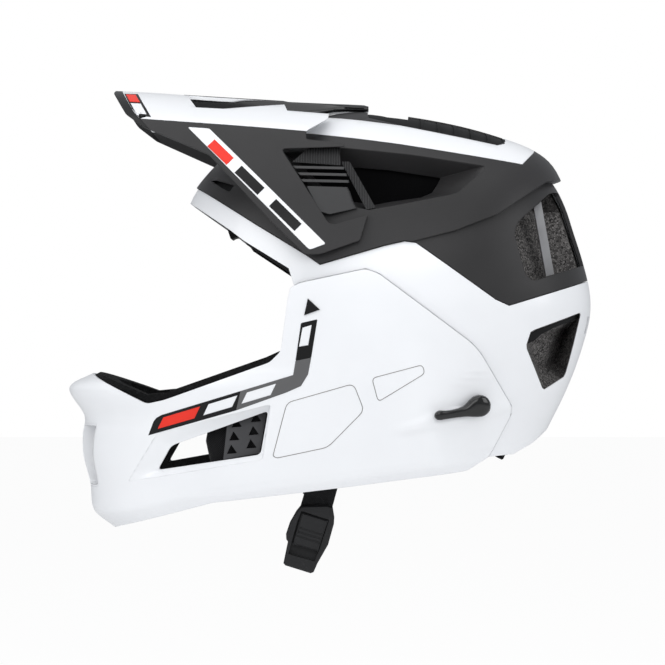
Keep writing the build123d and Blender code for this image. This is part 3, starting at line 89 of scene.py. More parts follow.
arm_outline = [
    (-240, -40), (-197, -47), (-157, -66), (-145.5, -63.5), (-77, -39), (-70, -32), (-66, -1),
    (-64, 8.5), (-61, 10), (-57.6, 11.6), (-16, 20.4), (-7.5, 17.3), (51.6, -26.7), (58, -34),
    (78, -67), (78, -73), (68.4, -91), (63.4, -100), (49, -108.4), (-33.5, -119.3),
    (-58.5, -122.4), (-114, -129.4), (-176, -147), (-183, -150), (-240, -150),
]
cheek_vent = [(-150, -109), (-141, -93), (-78, -70), (-83, -98)]
chin_front = [
    (-172, -158), (-188, -148), (-197, -137), (-199, -120), (-203.5, -102), (-204, -88),
    (-203, -75), (-213, -57), (-197, -47), (-180, -38), (-174, -10), (-172, 24),
]

# sizes in millimetres
HALF_WIDTH = 104.0      # of the helmet's shell
CAP_PROUD = 1.4         # how far the crown stands out of the body's outline
WALL = 2.6
FULLNESS = 2.3          # exponent of the envelope's sections, 2 for an ellipse
CHIN_FULLNESS = 2.1
CHIN_PROUD = 4.0        # how far the chin guard stands out of the body
CHIN_WALL = 3.0
CHIN_TURN = -10.0       # Y where the chin guard's front turns into its arms
CHIN_FOOT = -110.0      # Z below which the sections keep one run
DRAW_SLOPE = 60.0       # degrees, the way that the chin guard draws off
VISOR_PIVOT = (-27.0, 46.6)
VISOR_TILT = 14.0       # degrees
CHANNEL_HALF, CHANNEL_RADIUS = 24.5, 80.2       # the recess along the crown
FAR = 400.0             # past everything
SIDE = 140.0            # past either side of the shell
SHADE_PLATE_X = (61.6, 62.6)    # the near-black plates behind the side vents, painted shade for the vents' dark insides
VENT_THROUGH = 60.0     # half width down to which the side vents cut the liner
SIDE_VENT_DEPTH, REAR_VENT_DEPTH = 12.5, 14.5
SIDE_VENT_CUT, REAR_VENT_CUT = 12.6, 15.5       # how deep the liner is cut for them
ARM_END = 92            # Y where the chin guard's arms end
WELD = 2e-6             # metres
SIDES = ((1, "left"), (-1, "right"))


# ---------------------------------------------------------------- curves and solids

def beyond(p, q):
    """The point as far past p as q lies before it."""
    return tuple(2 * a - b for a, b in zip(p, q))


def smooth(points, per):
    """A smooth line through the points, with so many steps between each two."""
    line = [beyond(points[0], points[1]), *points, beyond(points[-1], points[-2])]
    out = []
    for quad in zip(line, line[1:], line[2:], line[3:]):
        for k in range(per):
            t = k / per
            out.append(tuple(
                0.5 * (2 * b + (c - a) * t + (2 * a - 5 * b + 4 * c - d) * t * t
                       + (3 * b - a - 3 * c + d) * t ** 3)
                for a, b, c, d in zip(*quad)))
    return out + [tuple(points[-1])]


def rounded(points, radius, steps=5):
    """The closed outline with its corners rounded."""
    out = []
    n = len(points)
    for i, p in enumerate(points):
        corner = Vector(p)
        a = Vector(points[i - 1]) - corner
        b = Vector(points[(i + 1) % n]) - corner
        cut = min(radius, a.length * 0.45, b.length * 0.45)
        start = corner + a.normalized() * cut
        end = corner + b.normalized() * cut
        for k in range(steps + 1):
            t = k / steps
            q = start * (1 - t) ** 2 + corner * 2 * t * (1 - t) + end * t * t
            out.append((q.x, q.y))
    return out


def new_object(name, mesh):
    obj = bpy.data.objects.new(name, mesh)
    bpy.context.scene.collection.objects.link(obj)
    return obj


@contextmanager
def editing(mesh):
    """The mesh as a bmesh, written back at the end."""
    bm = bmesh.new()
    bm.from_mesh(mesh)
    yield bm
    bm.to_mesh(mesh)
    bm.free()


def mesh_object(name, verts, faces, thickness=0.0):
    """A closed mesh from points in millimetres, or a sheet thickened away from its faces' side."""
    mesh = bpy.data.meshes.new(name)
    mesh.from_pydata([(x * MM, y * MM, z * MM) for x, y, z in verts], [], faces)
    with editing(mesh) as bm:
        bmesh.ops.remove_doubles(bm, verts=bm.verts, dist=1e-6 if thickness else 1e-7)
        bmesh.ops.recalc_face_normals(bm, faces=bm.faces)
        if thickness:
            bmesh.ops.solidify(bm, geom=bm.faces[:], thickness=thickness * MM)
            bmesh.ops.recalc_face_normals(bm, faces=bm.faces)
    return new_object(name, mesh)


def rings_object(name, rings):
    """A closed form from rings of points, each ring with the same number of points."""
    n = len(rings[0])
    verts = [p for ring in rings for p in ring]
    faces = []
    for r in range(len(rings) - 1):
        for k in range(n):
            a, b = r * n + k, r * n + (k + 1) % n
            faces.append((a, b, b + n, a + n))
    faces.append(tuple(range(n)))
    faces.append(tuple(range((len(rings) - 1) * n, len(rings) * n)))
    return mesh_object(name, verts, faces)


def prism(points, x0, x1):
    """A prism along X with an outline in the side view."""
    return rings_object("cut", [[(x, y, z) for y, z in points] for x in (x0, x1)])


def prism_y(points, y0, y1):
    """A prism along Y with an outline in the front view."""
    return rings_object("form", [[(x, y, z) for x, z in points] for y in (y0, y1)])


def both(points, x0, x1):
    return [prism(points, x0, x1), prism(points, -x1, -x0)]


def pair(points, x0, x1):
    """The prisms of both sides as one solid."""
    left, right = both(points, x0, x1)
    return carve(left, [("UNION", right)])


def across(points):
    return prism(points, -FAR, FAR)


def drop(*objects):
    for obj in objects:
        mesh = obj.data
        bpy.data.objects.remove(obj)
        if mesh.users == 0:
            bpy.data.meshes.remove(mesh)


def settle(obj):
    """Makes what the modifiers give the object's own mesh."""
    graph = bpy.context.evaluated_depsgraph_get()
    mesh = bpy.data.meshes.new_from_object(obj.evaluated_get(graph))
    old = obj.data
    obj.modifiers.clear()
    obj.data = mesh
    if old.users == 0:
        bpy.data.meshes.remove(old)


def carve(obj, steps):
    """Cuts, joins or keeps what is common, one step after another; the tools are used up."""
    for kind, other in steps:
        modifier = obj.modifiers.new("carve", "BOOLEAN")
        modifier.operation, modifier.solver, modifier.object = kind, "MANIFOLD", other
    settle(obj)
    drop(*{other for kind, other in steps})
    return obj


def twin(obj):
    return new_object("form", obj.data.copy())


def shade(obj, angle):
    """Smooth shading, with sharp edges where the surface turns by more than the angle."""
    with editing(obj.data) as bm:
        bmesh.ops.remove_doubles(bm, verts=bm.verts, dist=WELD)
        bmesh.ops.dissolve_degenerate(bm, dist=WELD, edges=bm.edges)
    for face in obj.data.polygons:
        face.use_smooth = True
    obj.data.set_sharp_from_angle(angle=math.radians(angle))


def copy_of(node, name):
    """A copy of a CAD node's mesh, with the seams between its facets welded."""
    obj = new_object(name, nodes[node].data.copy())
    obj.matrix_world = nodes[node].matrix_world.copy()
    with editing(obj.data) as bm:
        bmesh.ops.remove_doubles(bm, verts=bm.verts, dist=WELD)
    return obj


def finish_piece(obj, name, material, body, *stands_for, angle=32.0, slot=None):
    """Names, shades and paints a piece; a slot is worked out, the material's own unless one is given, but it
    is not stored on the piece.
    """
    obj.name = name
    shade(obj, angle)
    obj.data.materials.clear()
    obj.data.materials.append(material)
    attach(obj, body)
    if stands_for:
        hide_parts(*stands_for)
    slot = SLOTS.get(material, "black_plastic") if slot is None else slot
    return obj


def envelope(profile, inset=0.0, half_width=HALF_WIDTH, rows=40, per=4):
    """The closed form round the head: the side outline, drawn in towards the head at each side."""
    line = smooth(profile, per)
    ring = []
    for y, z in line:
        share = 1 - inset / math.hypot(y, z)
        ring.append((y * share, z * share))
    rings = []
    for r in range(1, rows):
        turn = math.pi * (r / rows - 0.5)
        x = (half_width - inset) * math.copysign(abs(math.sin(turn)) ** (2 / FULLNESS), turn)
        drawn = abs(math.cos(turn)) ** (2 / FULLNESS)
        rings.append([(x, y * drawn, z * drawn) for y, z in ring])
    return rings_object("form", rings)


dense_body = smooth(body_profile, 4)
dense_cap = smooth(cap_profile, 4)


def reach(y, z, line=dense_body):
    """How far a side outline lies from the head's middle, towards a point."""
    length = math.hypot(y, z)
    dy, dz = y / length, z / length
    closed = line + line[:1]
    for (ya, za), (yb, zb) in zip(closed, closed[1:]):
        ca, cb = ya * dz - za * dy, yb * dz - zb * dy
        if ca * cb > 0 or ca == cb:
            continue
        t = ca / (ca - cb)
        along = (ya + (yb - ya) * t) * dy + (za + (zb - za) * t) * dz
        if along > 0:
            return along
    return length


def width_at(y, z, inset=0.0, line=dense_body):
    """The half width of a head envelope, drawn in by an inset, at a point of the side view."""
    share = min(math.hypot(y, z) / (reach(y, z, line) - inset), 1.0)
    return (HALF_WIDTH - inset) * (1 - share ** FULLNESS) ** (1 / FULLNESS)


def layer(profile, outer, inner):
    """What lies between two insets of a head envelope."""
    return carve(envelope(profile, outer), [("DIFFERENCE", envelope(profile, inner))])


def densely(points, split):
    """The closed outline with each side parted into as many lengths."""
    return [(ya + (yb - ya) * k / split, za + (zb - za) * k / split)
            for (ya, za), (yb, zb) in zip(points, points[1:] + points[:1]) for k in range(split)]


def funnel(rim, foot, sign, rim_inset, foot_inset, line=dense_body, floor=False, steps=4):
    """Walls from an outline in a surface down to a smaller one under it, with or without a floor."""
    rim, foot = densely(rim, 4), densely(foot, 4)
    n = len(rim)
    verts, faces = [], []
    for step in range(steps + 1):
        t = step / steps
        inset = rim_inset + (foot_inset - rim_inset) * t
        for (ya, za), (yb, zb) in zip(rim, foot):
            y, z = ya + (yb - ya) * t, za + (zb - za) * t
            verts.append((sign * width_at(y, z, inset, line), y, z))
    for step in range(steps):
        for k in range(n):
            a, b = step * n + k, step * n + (k + 1) % n
            faces.append((a, b, b + n, a + n))
    if floor:
        y, z = sum(y for y, z in foot) / n, sum(z for y, z in foot) / n
        verts.append((sign * width_at(y, z, foot_inset, line), y, z))
        faces += [(steps * n + k, steps * n + (k + 1) % n, len(verts) - 1) for k in range(n)]
    return mesh_object("form", verts, faces, thickness=1.0)


def chin_ring(front_y, z, inset, steps=26):
    """A level section of the chin guard and its arms."""
    side = width_at(CHIN_TURN, z) + CHIN_PROUD - inset
    front = front_y + inset
    left = []
    for k in range(steps + 1):
        share = math.cos(math.pi / 2 * k / steps)
        y = CHIN_TURN + (front - CHIN_TURN) * share
        left.append((side * (1 - share ** CHIN_FULLNESS) ** (1 / CHIN_FULLNESS), y))
    low = max(z, CHIN_FOOT)
    narrowing = side / (width_at(CHIN_TURN, low) + CHIN_PROUD - inset)
    for y in range(-4, ARM_END + 1, 6):
        left.append(((width_at(y, low) + CHIN_PROUD - inset) * narrowing, y))
    return [(x, y, z) for x, y in left] + [(-x, y, z) for x, y in reversed(left[1:])]


def draw_space(gap):
    """The space inside the arms, swept the way that the chin guard draws off."""
    along = Vector((0, -0.5, -math.sin(math.radians(DRAW_SLOPE))))
    up = Vector((0, -along.z, along.y))
    places = (-150, -15, 20, 58, 67, 90, 105, 130)
    widths = (0.86, 0.86, 0.875, 0.86, 0.84, 0.75, 0.665, 0.52)
    edge = [(q, HALF_WIDTH * w + gap) for q, w in zip(places, widths)]
    ring = edge + [(q, -x) for q, x in reversed(edge)]
    rings = []
    for reach_out in (-FAR, FAR):
        rings.append([tuple(Vector((x, 0, 0)) + up * q + along * reach_out) for q, x in ring])
    return rings_object("cut", rings)


def closed_at(line, height):
    """The area between a line and a height far above or below it."""
    return list(line) + [(line[-1][0], height), (line[0][0], height)]


def channel(grow):
    """The recess along the crown that the visor's tail slides in."""
    half, radius = CHANNEL_HALF + grow, CHANNEL_RADIUS - grow
    ring = []
    for k in range(13):
        turn = math.radians(-6 + k * (36.5 + grow) / 12)
        ring.append((VISOR_PIVOT[0] + radius * math.sin(turn), VISOR_PIVOT[1] + radius * math.cos(turn)))
    ring += [(ring[-1][0], 160), (ring[0][0], 160)]
    return prism(ring, -half, half)


# ---------------------------------------------------------------- materials

def new_node(tree, kind, **inputs):
    """A shader node with some of its inputs set; _ stands for a space in an input's name."""
    node = tree.nodes.new("ShaderNode" + kind)
    for key, value in inputs.items():
        node.inputs[key.replace("_", " ")].default_value = value
    return node


def wire(tree, *links):
    for source, target in links:
        tree.links.new(source, target)


class Paint:
    """A node material that is built up step by step."""

    def __init__(self, name, colour, rough, metal=0.0, coat=0.0, sheen=0.0, shine=0.5):
        self.material = bpy.data.materials.new(name)
        self.material.use_nodes = True
        self.tree = self.material.node_tree
        self.inputs = self.tree.nodes["Principled BSDF"].inputs
        for key, value in (("Metallic", metal), ("Coat Weight", coat), ("Coat Roughness", 0.12),
                           ("Sheen Weight", sheen), ("Specular IOR Level", shine),
                           ("Roughness", rough), ("Base Color", (*colour, 1))):
            self.inputs[key].default_value = value
        self.place = new_node(self.tree, "TexCoord").outputs["Object"]
        self.normal = None

    def link(self, out, into):
        self.tree.links.new(out, into)

    def texture(self, kind, place=None, **inputs):
        node = new_node(self.tree, "Tex" + kind, **inputs)
        self.link(place or self.place, node.inputs["Vector"])
        return node

    def noise(self, scale, detail=3.0, stretch=None):
        place = None
        if stretch:
            mapping = new_node(self.tree, "Mapping", Scale=stretch)
            self.link(self.place, mapping.inputs["Vector"])
            place = mapping.outputs["Vector"]
        return self.texture("Noise", place, Scale=scale, Detail=detail).outputs["Fac"]

    def cells(self, scale, feature="F1"):
        node = self.texture("Voronoi", Scale=scale)
        node.feature = feature
        return node

    def wave(self, scale, axis, distort=0.0):
        node = self.texture("Wave", Scale=scale, Distortion=distort)
        node.bands_direction = axis
        return node.outputs["Fac"]

    def ramp(self, fac, stops):
        node = new_node(self.tree, "ValToRGB")
        for element, (place, colour) in zip(node.color_ramp.elements, stops):
            element.position = place
            element.color = (*colour, 1)
        self.link(fac, node.inputs["Fac"])
        return node.outputs["Color"]

    def maths(self, kind, a, b):
        node = new_node(self.tree, "Math")
        node.operation = kind
        for slot, value in zip(node.inputs, (a, b)):
            if isinstance(value, (int, float)):
                slot.default_value = value
            else:
                self.link(value, slot)
        return node.outputs["Value"]

    def colour(self, fac, low, dark, high, light):
        """The base colour, from dark to light as the factor goes from low to high."""
        self.link(self.ramp(fac, [(low, dark), (high, light)]), self.inputs["Base Color"])

    def rough(self, fac, low, high):
        node = new_node(self.tree, "MapRange", To_Min=low, To_Max=high)
        self.link(fac, node.inputs["Value"])
        self.link(node.outputs["Result"], self.inputs["Roughness"])

    def bump(self, height, depth, strength):
        node = new_node(self.tree, "Bump", Distance=depth, Strength=strength)
        self.link(height, node.inputs["Height"])
        if self.normal:
            self.link(self.normal, node.inputs["Normal"])
        self.link(node.outputs["Normal"], self.inputs["Normal"])

    def soft_edges(self, radius):
        """Edges catch the light as if slightly rounded."""
        node = new_node(self.tree, "Bevel", Radius=radius)
        node.samples = 4
        self.normal = node.outputs["Normal"]


def lacquer(name, dark, light, rough=0.34, edges=0.0008, coat=0.0, shine=0.5):
    """A sprayed and lacquered moulded shell: faint clouding, faint orange peel, slightly soft edges."""
    paint = Paint(name, light, rough, coat=coat, shine=shine)
    paint.soft_edges(edges)
    paint.colour(paint.noise(14, 4), 0.3, dark, 0.7, light)
    paint.rough(paint.noise(60, 5), rough - 0.05, rough + 0.06)
    paint.bump(paint.noise(900, 2), 0.00002, 0.35)
    return paint.material


def plastic(name, colour, rough=0.45, shine=0.3):
    """Moulded plastic with a fine eroded grain and slight mottling."""
    paint = Paint(name, colour, rough, shine=shine)
    paint.soft_edges(0.0005)
    paint.colour(paint.noise(40, 5), 0.3, [c * 0.8 for c in colour], 0.7, [c * 1.15 for c in colour])
    paint.rough(paint.noise(120, 4), rough - 0.06, rough + 0.08)
    paint.bump(paint.noise(2600, 3), 0.00004, 0.6)
    return paint.material


def bead_foam(name, dark, light, scale):
    """Expanded bead foam: packed beads with dark gaps and uneven greys."""
    paint = Paint(name, light, 0.85, shine=0.15)
    grey = paint.ramp(paint.cells(scale).outputs["Color"], [(0.1, dark), (0.9, light)])
    edge = paint.cells(scale, "DISTANCE_TO_EDGE").outputs["Distance"]
    gap = paint.ramp(edge, [(0.0, (0.25, 0.25, 0.25)), (0.12, (1, 1, 1))])
    mix = new_node(paint.tree, "Mix")
    mix.data_type = "RGBA"
    mix.blend_type = "MULTIPLY"
    mix.inputs["Factor"].default_value = 1.0
    paint.link(grey, mix.inputs["A"])
    paint.link(gap, mix.inputs["B"])
    paint.link(mix.outputs["Result"], paint.inputs["Base Color"])
    paint.bump(edge, 0.0009, 0.6)
    return paint.material


def ribbed(name, dark, light):
    """Moulded plastic with fine upright ribs."""
    paint = Paint(name, light, 0.5, shine=0.35)
    ribs = paint.wave(190, "Y")
    paint.colour(ribs, 0.2, dark, 0.8, light)
    paint.rough(paint.noise(200, 3), 0.42, 0.6)
    paint.bump(ribs, 0.0006, 0.8)
    return paint.material


def knit(name, dark, light, scale=520.0):
    """Knitted lining fabric: fine ribs one way, loops the other, and a soft sheen."""
    paint = Paint(name, light, 0.9, sheen=0.15, shine=0.1)
    weave = paint.maths("MULTIPLY", paint.wave(scale, "Y", 0.6), paint.wave(scale * 0.8, "DIAGONAL", 0.8))
    blotch = paint.noise(35, 4)
    tone = paint.maths("ADD", paint.maths("MULTIPLY", weave, 0.6), paint.maths("MULTIPLY", blotch, 0.4))
    paint.colour(tone, 0.15, dark, 0.75, light)
    paint.bump(weave, 0.0003, 0.7)
    return paint.material


def webbing_paint(name):
    """Woven strap: ribs across it and a diagonal twill."""
    paint = Paint(name, (0.02, 0.02, 0.021), 0.75, sheen=0.08, shine=0.2)
    weave = paint.maths("MULTIPLY", paint.wave(420, "Z", 0.2), paint.wave(520, "DIAGONAL", 0.3))
    paint.colour(weave, 0.1, (0.008, 0.008, 0.009), 0.9, (0.035, 0.035, 0.037))
    paint.bump(weave, 0.00035, 0.8)
    return paint.material


def steel_paint(name):
    """Turned and brushed steel."""
    paint = Paint(name, (0.5, 0.5, 0.52), 0.3, metal=1.0)
    brushed = paint.noise(900, 3, stretch=(1, 8, 1))
    paint.colour(brushed, 0.2, (0.38, 0.38, 0.40), 0.8, (0.6, 0.6, 0.62))
    paint.rough(brushed, 0.22, 0.42)
    paint.bump(brushed, 0.00003, 0.5)
    return paint.material


white = lacquer("white_lacquer", (0.80, 0.81, 0.83), (0.84, 0.85, 0.87), rough=0.30, coat=0.25)
charcoal = lacquer("charcoal_shell", (0.017, 0.0165, 0.017), (0.023, 0.022, 0.023), rough=0.46, shine=0.32)
gloss_black = lacquer("gloss_black", (0.003, 0.003, 0.003), (0.006, 0.006, 0.0065), rough=0.16, coat=0.35,
                      edges=0.0004, shine=0.35)
print_black = lacquer("print_black", (0.006, 0.006, 0.0065), (0.009, 0.009, 0.0095), shine=0.2)
print_grey = lacquer("print_grey", (0.10, 0.10, 0.102), (0.12, 0.12, 0.122), shine=0.25)
print_red = lacquer("print_red", (0.72, 0.030, 0.018), (0.80, 0.040, 0.024), shine=0.2)
print_line = lacquer("print_line", (0.22, 0.21, 0.20), (0.30, 0.29, 0.28), rough=0.35, coat=0.25)
black_plastic = plastic("black_plastic", (0.011, 0.011, 0.012))
soft_black = plastic("soft_black", (0.006, 0.006, 0.0065), rough=0.62, shine=0.15)
grey_plastic = plastic("grey_plastic", (0.055, 0.055, 0.058), rough=0.42)
light_plastic = plastic("light_plastic", (0.30, 0.30, 0.31), rough=0.4)
ribbed_black = ribbed("ribbed_black", (0.006, 0.006, 0.0065), (0.020, 0.020, 0.021))
slat_black = plastic("slat_black", (0.016, 0.016, 0.017), rough=0.38, shine=0.5)
panel_black = lacquer("panel_black", (0.020, 0.020, 0.021), (0.028, 0.028, 0.029), rough=0.42, shine=0.4)
grey_foam = bead_foam("grey_foam", (0.008, 0.008, 0.008), (0.085, 0.080, 0.078), scale=850)
rear_foam = bead_foam("rear_foam", (0.020, 0.019, 0.019), (0.21, 0.20, 0.195), scale=1000)
black_foam = bead_foam("black_foam", (0.003, 0.003, 0.003), (0.010, 0.010, 0.011), scale=700)
pad_fabric = knit("pad_fabric", (0.005, 0.005, 0.0055), (0.024, 0.024, 0.026))
# near-black dull plastic for the plates behind the side vents: painted shade
vent_shade_black = plastic("vent_shade_black", (0.0025, 0.0025, 0.0028), rough=0.8, shine=0.05)
webbing = webbing_paint("webbing")
steel = steel_paint("steel")
SLOTS = {white: "shell_white", charcoal: "shell_black", grey_foam: "foam_grey", rear_foam: "foam_grey",
         gloss_black: "gloss_black", steel: "steel", pad_fabric: "pad_fabric", webbing: "webbing"}


# ---------------------------------------------------------------- shells

def cut_steps(objects):
    return [("DIFFERENCE", obj) for obj in objects]


inner = envelope(body_profile, WALL)
cap = carve(envelope(cap_profile, -CAP_PROUD), [("INTERSECT", across(cap_edge))])
upper = carve(envelope(body_profile), [
    ("UNION", cap), ("INTERSECT", across([(y, z + 0.5) for y, z in closed_at(shell_seam, 200.0)])),
    ("INTERSECT", across(body_outline))])
hollow = carve(twin(inner), cut_steps([channel(WALL)]))
crown_vent = [(-14.9, 130.2), (-13.2, 120.9), (7.6, 115.5), (70.4, 102.8), (71.6, 102.6),
              (76.9, 105.7), (78.8, 113)]
brow_notch = [(-116.7, 79.5), (-112.9, 79.5), (-101, 75.4), (-103.4, 71.6), (-105, 71.8), (-109.2, 74.2)]
upper_steps = cut_steps([channel(0.0), hollow])
for outline, start in ((side_vent, 50), (rounded(upper_vent, 4), 13), (crown_vent, 7), (brow_notch, 20)):
    upper_steps += cut_steps(both(outline, start, SIDE))
carve(upper, upper_steps)


def shifted(points, amount):
    """A closed outline moved outwards by an amount, with mitred corners."""
    area = sum(a[0] * b[1] - b[0] * a[1] for a, b in zip(points, points[1:] + points[:1]))
    sign = 1 if area > 0 else -1
    out = []
    for i, p in enumerate(points):
        p, a, b = Vector(p), Vector(points[i - 1]), Vector(points[(i + 1) % len(points)])
        before, after = (p - a).normalized(), (b - p).normalized()
        n1 = Vector((before.y, -before.x)) * sign
        n2 = Vector((after.y, -after.x)) * sign
        mitre = (n1 + n2).normalized()
        q = p + mitre * amount / max(mitre.dot(n1), 0.4)
        out.append((q.x, q.y))
    return out


def pocket(grow):
    """The pocket that one arm lies in, or the same with a wall round it, for both sides."""
    seam = arm_outline[8:18]
    last = (seam[-1][0] - 150, seam[-1][1] - 260)
    first = (-300, seam[0][1] - 40)
    line = shifted([first] + seam + [last, (-300, last[1])], POCKET_GAP + grow)
    return [carve(form, cut_steps([draw_space(-grow)])) for form in both(line, 0.0, 300)]


def edge_distance(points, y, z):
    """How far a point lies from a closed outline."""
    best = FAR
    for (ya, za), (yb, zb) in zip(points, points[1:] + points[:1]):
        dy, dz = yb - ya, zb - za
        t = max(0.0, min(1.0, ((y - ya) * dy + (z - za) * dz) / (dy * dy + dz * dz)))
        best = min(best, math.hypot(y - ya - dy * t, z - za - dz * t))
    return best


def inside(points, y, z):
    hit = False
    for (ya, za), (yb, zb) in zip(points, points[1:] + points[:1]):
        if (za > z) != (zb > z) and y < (yb - ya) * (z - za) / (zb - za) + ya:
            hit = not hit
    return hit


def slope_down(outer, floor, y, z):
    """0 at the outer outline and outside it, 1 at the inner outline and inside it."""
    if not inside(outer, y, z):
        return 0.0
    if inside(floor, y, z):
        return 1.0
    out, far = edge_distance(outer, y, z), edge_distance(floor, y, z)
    return out / (out + far)


def ease(t):
    t = max(0.0, min(1.0, t))
    return t * t * (3 - 2 * t)


lever_fan = [(60, -42), (43, -53), (38, -62), (36, -69), (50, -69), (66, -58)]
chin_low = [(-240, -141), (-176, -138), (-114, -121), (-58, -114), (-33, -111), (49, -100), (64, -93),
            (120, -93), (120, -240), (-240, -240)]
bevel_reach = [(-170, -117), (-150, -85), (-52, -59.4), (-57, -96.6)]
bevel_floor = [(-153, -110), (-143, -91.5), (-58, -62.5), (-63, -92.5)]
bevel_pocket = [(-170, -117), (-150, -85), (-76.4, -65.8), (-81.6, -100.9)]


arm_ridge = [(88, -66), (33, -73), (8, -82)]
FAN_DEPTH, FAN_RUN = 1.1, 2.5           # the recess round the lever
LOW_SLOPE, LOW_RUN = 0.35, 9.0          # the chin guard's foot draws in
RIDGE_HEIGHT, RIDGE_HALF = 1.2, 5.0     # the ridge along the arm
BEVEL_DEPTH = 5.0                       # round the cheek vent
POCKET_GAP = 0.2                        # between an arm and its pocket


def chin_relief(y, z):
    """How far the chin guard's face is set in at a point of the side view."""
    depth = 0.0
    if inside(lever_fan, y, z):
        depth += FAN_DEPTH * ease(edge_distance(lever_fan, y, z) / FAN_RUN)
    if inside(chin_low, y, z):
        depth += LOW_SLOPE * min(edge_distance(chin_low[:8], y, z), LOW_RUN)
    depth -= RIDGE_HEIGHT * ease(1 - edge_distance(arm_ridge, y, z) / RIDGE_HALF)
    return depth


def bevel_relief(y, z):
    """The same under the bevel round the cheek vent."""
    return BEVEL_DEPTH * slope_down(bevel_reach, bevel_floor, y, z)


def chin_surface(inset, relief=chin_relief):
    """The chin guard's outer form at an inset, with its face set in by a relief."""
    rings = []
    for front_y, z in smooth(chin_front, 9):
        ring = []
        for x, y, height in chin_ring(front_y, z, inset, steps=54):
            drawn = relief(y, height) if y < ARM_END else 0.0
            fore = min((y - CHIN_TURN) * 0.5, 0.0)
            length = math.hypot(x, fore) or 1.0
            ring.append((x - drawn * x / length, y - drawn * (fore / length), height))
        rings.append(ring)
    return rings_object("form", rings)


low = carve(envelope(body_profile), [("INTERSECT", across(closed_at(shell_seam, -240.0))),
                                     ("INTERSECT", across(body_outline))])
walls = carve(inner, cut_steps(pocket(WALL)))
carve(low, cut_steps(pocket(0.0) + [walls] + both(lower_vent, 13, SIDE) + both(rear_slot, 12, 30)))
finish_piece(low, "lower_skin", white, "helmet", "lower_shell")

stripe_outline = [
    (-60, 110.9), (-54, 110), (6, 102), (86.5, 89.4), (95.7, 98.5), (98, 102), (96, 114),
    (76.3, 112), (76.3, 104), (71, 102.5), (7.2, 115.3), (-45, 122.5), (-60, 124.5),
]
stripe = carve(twin(upper), [("INTERSECT", across(stripe_outline))])
carve(upper, cut_steps([across(stripe_outline)]))


def vent_form(rim, foot, sign, depth, line, through=None):
    """The solid air space of a vent, from outside the shell down to its foot or through the liner."""
    rim, foot = shifted(rim, 1.0), shifted(foot, 1.0)
    rings = [[(sign * 130, y, z) for y, z in rim]]
    rows = [(rim, -CAP_PROUD - 0.4)]
    rows += [([(a[0] + (b[0] - a[0]) * t, a[1] + (b[1] - a[1]) * t) for a, b in zip(rim, foot)],
              -CAP_PROUD + t * (depth + CAP_PROUD)) for t in (0.0, 0.33, 0.67, 1.0)]
    rings += [[(sign * width_at(y, z, inset, line), y, z) for y, z in loop] for loop, inset in rows]
    if through:
        rings.append([(sign * through, y, z) for y, z in foot])
    return rings_object("cut", rings)


for name in ("foam_crown", "foam_left", "foam_right", "foam_rear"):
    rear = name == "foam_rear"
    liner = copy_of(name, "form")
    for sign in (1, -1):
        vent = (vent_form(lower_vent, lower_floor, sign, REAR_VENT_CUT, dense_body) if rear
                else vent_form(side_vent, side_throat, sign, SIDE_VENT_CUT, dense_cap, VENT_THROUGH))
        carve(liner, cut_steps([vent]))
    finish_piece(liner, f"{name}_cut", rear_foam if rear else grey_foam, "helmet", name, angle=30)
# a black lip under the top edge of each lower vent: partly the shell's dark inner edge, partly painted shade
# under that edge
lip_and_shade_outline = [
    (90.5, -20.6), (93.4, -18.9), (124.3, -8), (124.9, -10), (116.6, -13.5), (112.4, -14.8),
    (106, -17.3), (98, -21.0), (93, -25.5), (89.0, -27),
]
for sign, side in SIDES:
    floor_form = funnel(lower_vent, lower_floor, sign, 2.2, REAR_VENT_DEPTH, floor=True)
    finish_piece(floor_form, f"rear_hollow_{side}", rear_foam, "helmet", angle=20)
    lip_and_shade = carve(layer(body_profile, 3.0, 4.0), [("INTERSECT", prism(lip_and_shade_outline, sign * 30, sign * 120))])
    finish_piece(lip_and_shade, f"rear_lip_and_shade_{side}", soft_black, "helmet")
# near-black plates behind the side vents: painted shade that makes each vent's inside read dark
shade_plate_outline = [(-56, 92), (-25, 94), (4, 90), (40, 84), (40, 74), (30, 66), (0, 59), (-16, 57), (-45, 61)]
for sign, side in SIDES:
    finish_piece(prism(shade_plate_outline, sign * SHADE_PLATE_X[0], sign * SHADE_PLATE_X[1]), f"vent_shade_plate_{side}", vent_shade_black, "helmet")
    mouth = funnel(side_vent, side_throat, sign, -CAP_PROUD + 0.1, SIDE_VENT_DEPTH, dense_cap)
    finish_piece(mouth, f"vent_mouth_{side}", charcoal, "helmet", angle=20)
# a tray under each crown vent, with slanting bars across it
BAR, BAR_PITCH = 2.2, 11
grid_tray = layer(cap_profile, -CAP_PROUD + 1.5, -CAP_PROUD + 2.4)
grid_bars = layer(cap_profile, -CAP_PROUD + 0.5, -CAP_PROUD + 2.0)
bars = prism([(-20, 90), (-19, 90), (-19, 91), (-20, 91)], -60, 60)
carve(bars, [("UNION", prism([(y, 90), (y + BAR, 90), (y + 2 * BAR, 150), (y + BAR, 150)], -60, 60))
             for y in range(20, 78, BAR_PITCH)])
carve(grid_bars, [("INTERSECT", bars)])
carve(grid_tray, [("UNION", grid_bars), ("DIFFERENCE", channel(0.0)),
                  ("INTERSECT", pair(shifted(crown_vent, 0.5), 6.5, SIDE))])
finish_piece(grid_tray, "crown_grids", soft_black, "helmet")
notch_floor = carve(layer(body_profile, 1.6, 2.4),
                    [("INTERSECT", pair(shifted(brow_notch, 0.4), 19.5, SIDE))])
finish_piece(notch_floor, "brow_notches", soft_black, "helmet")
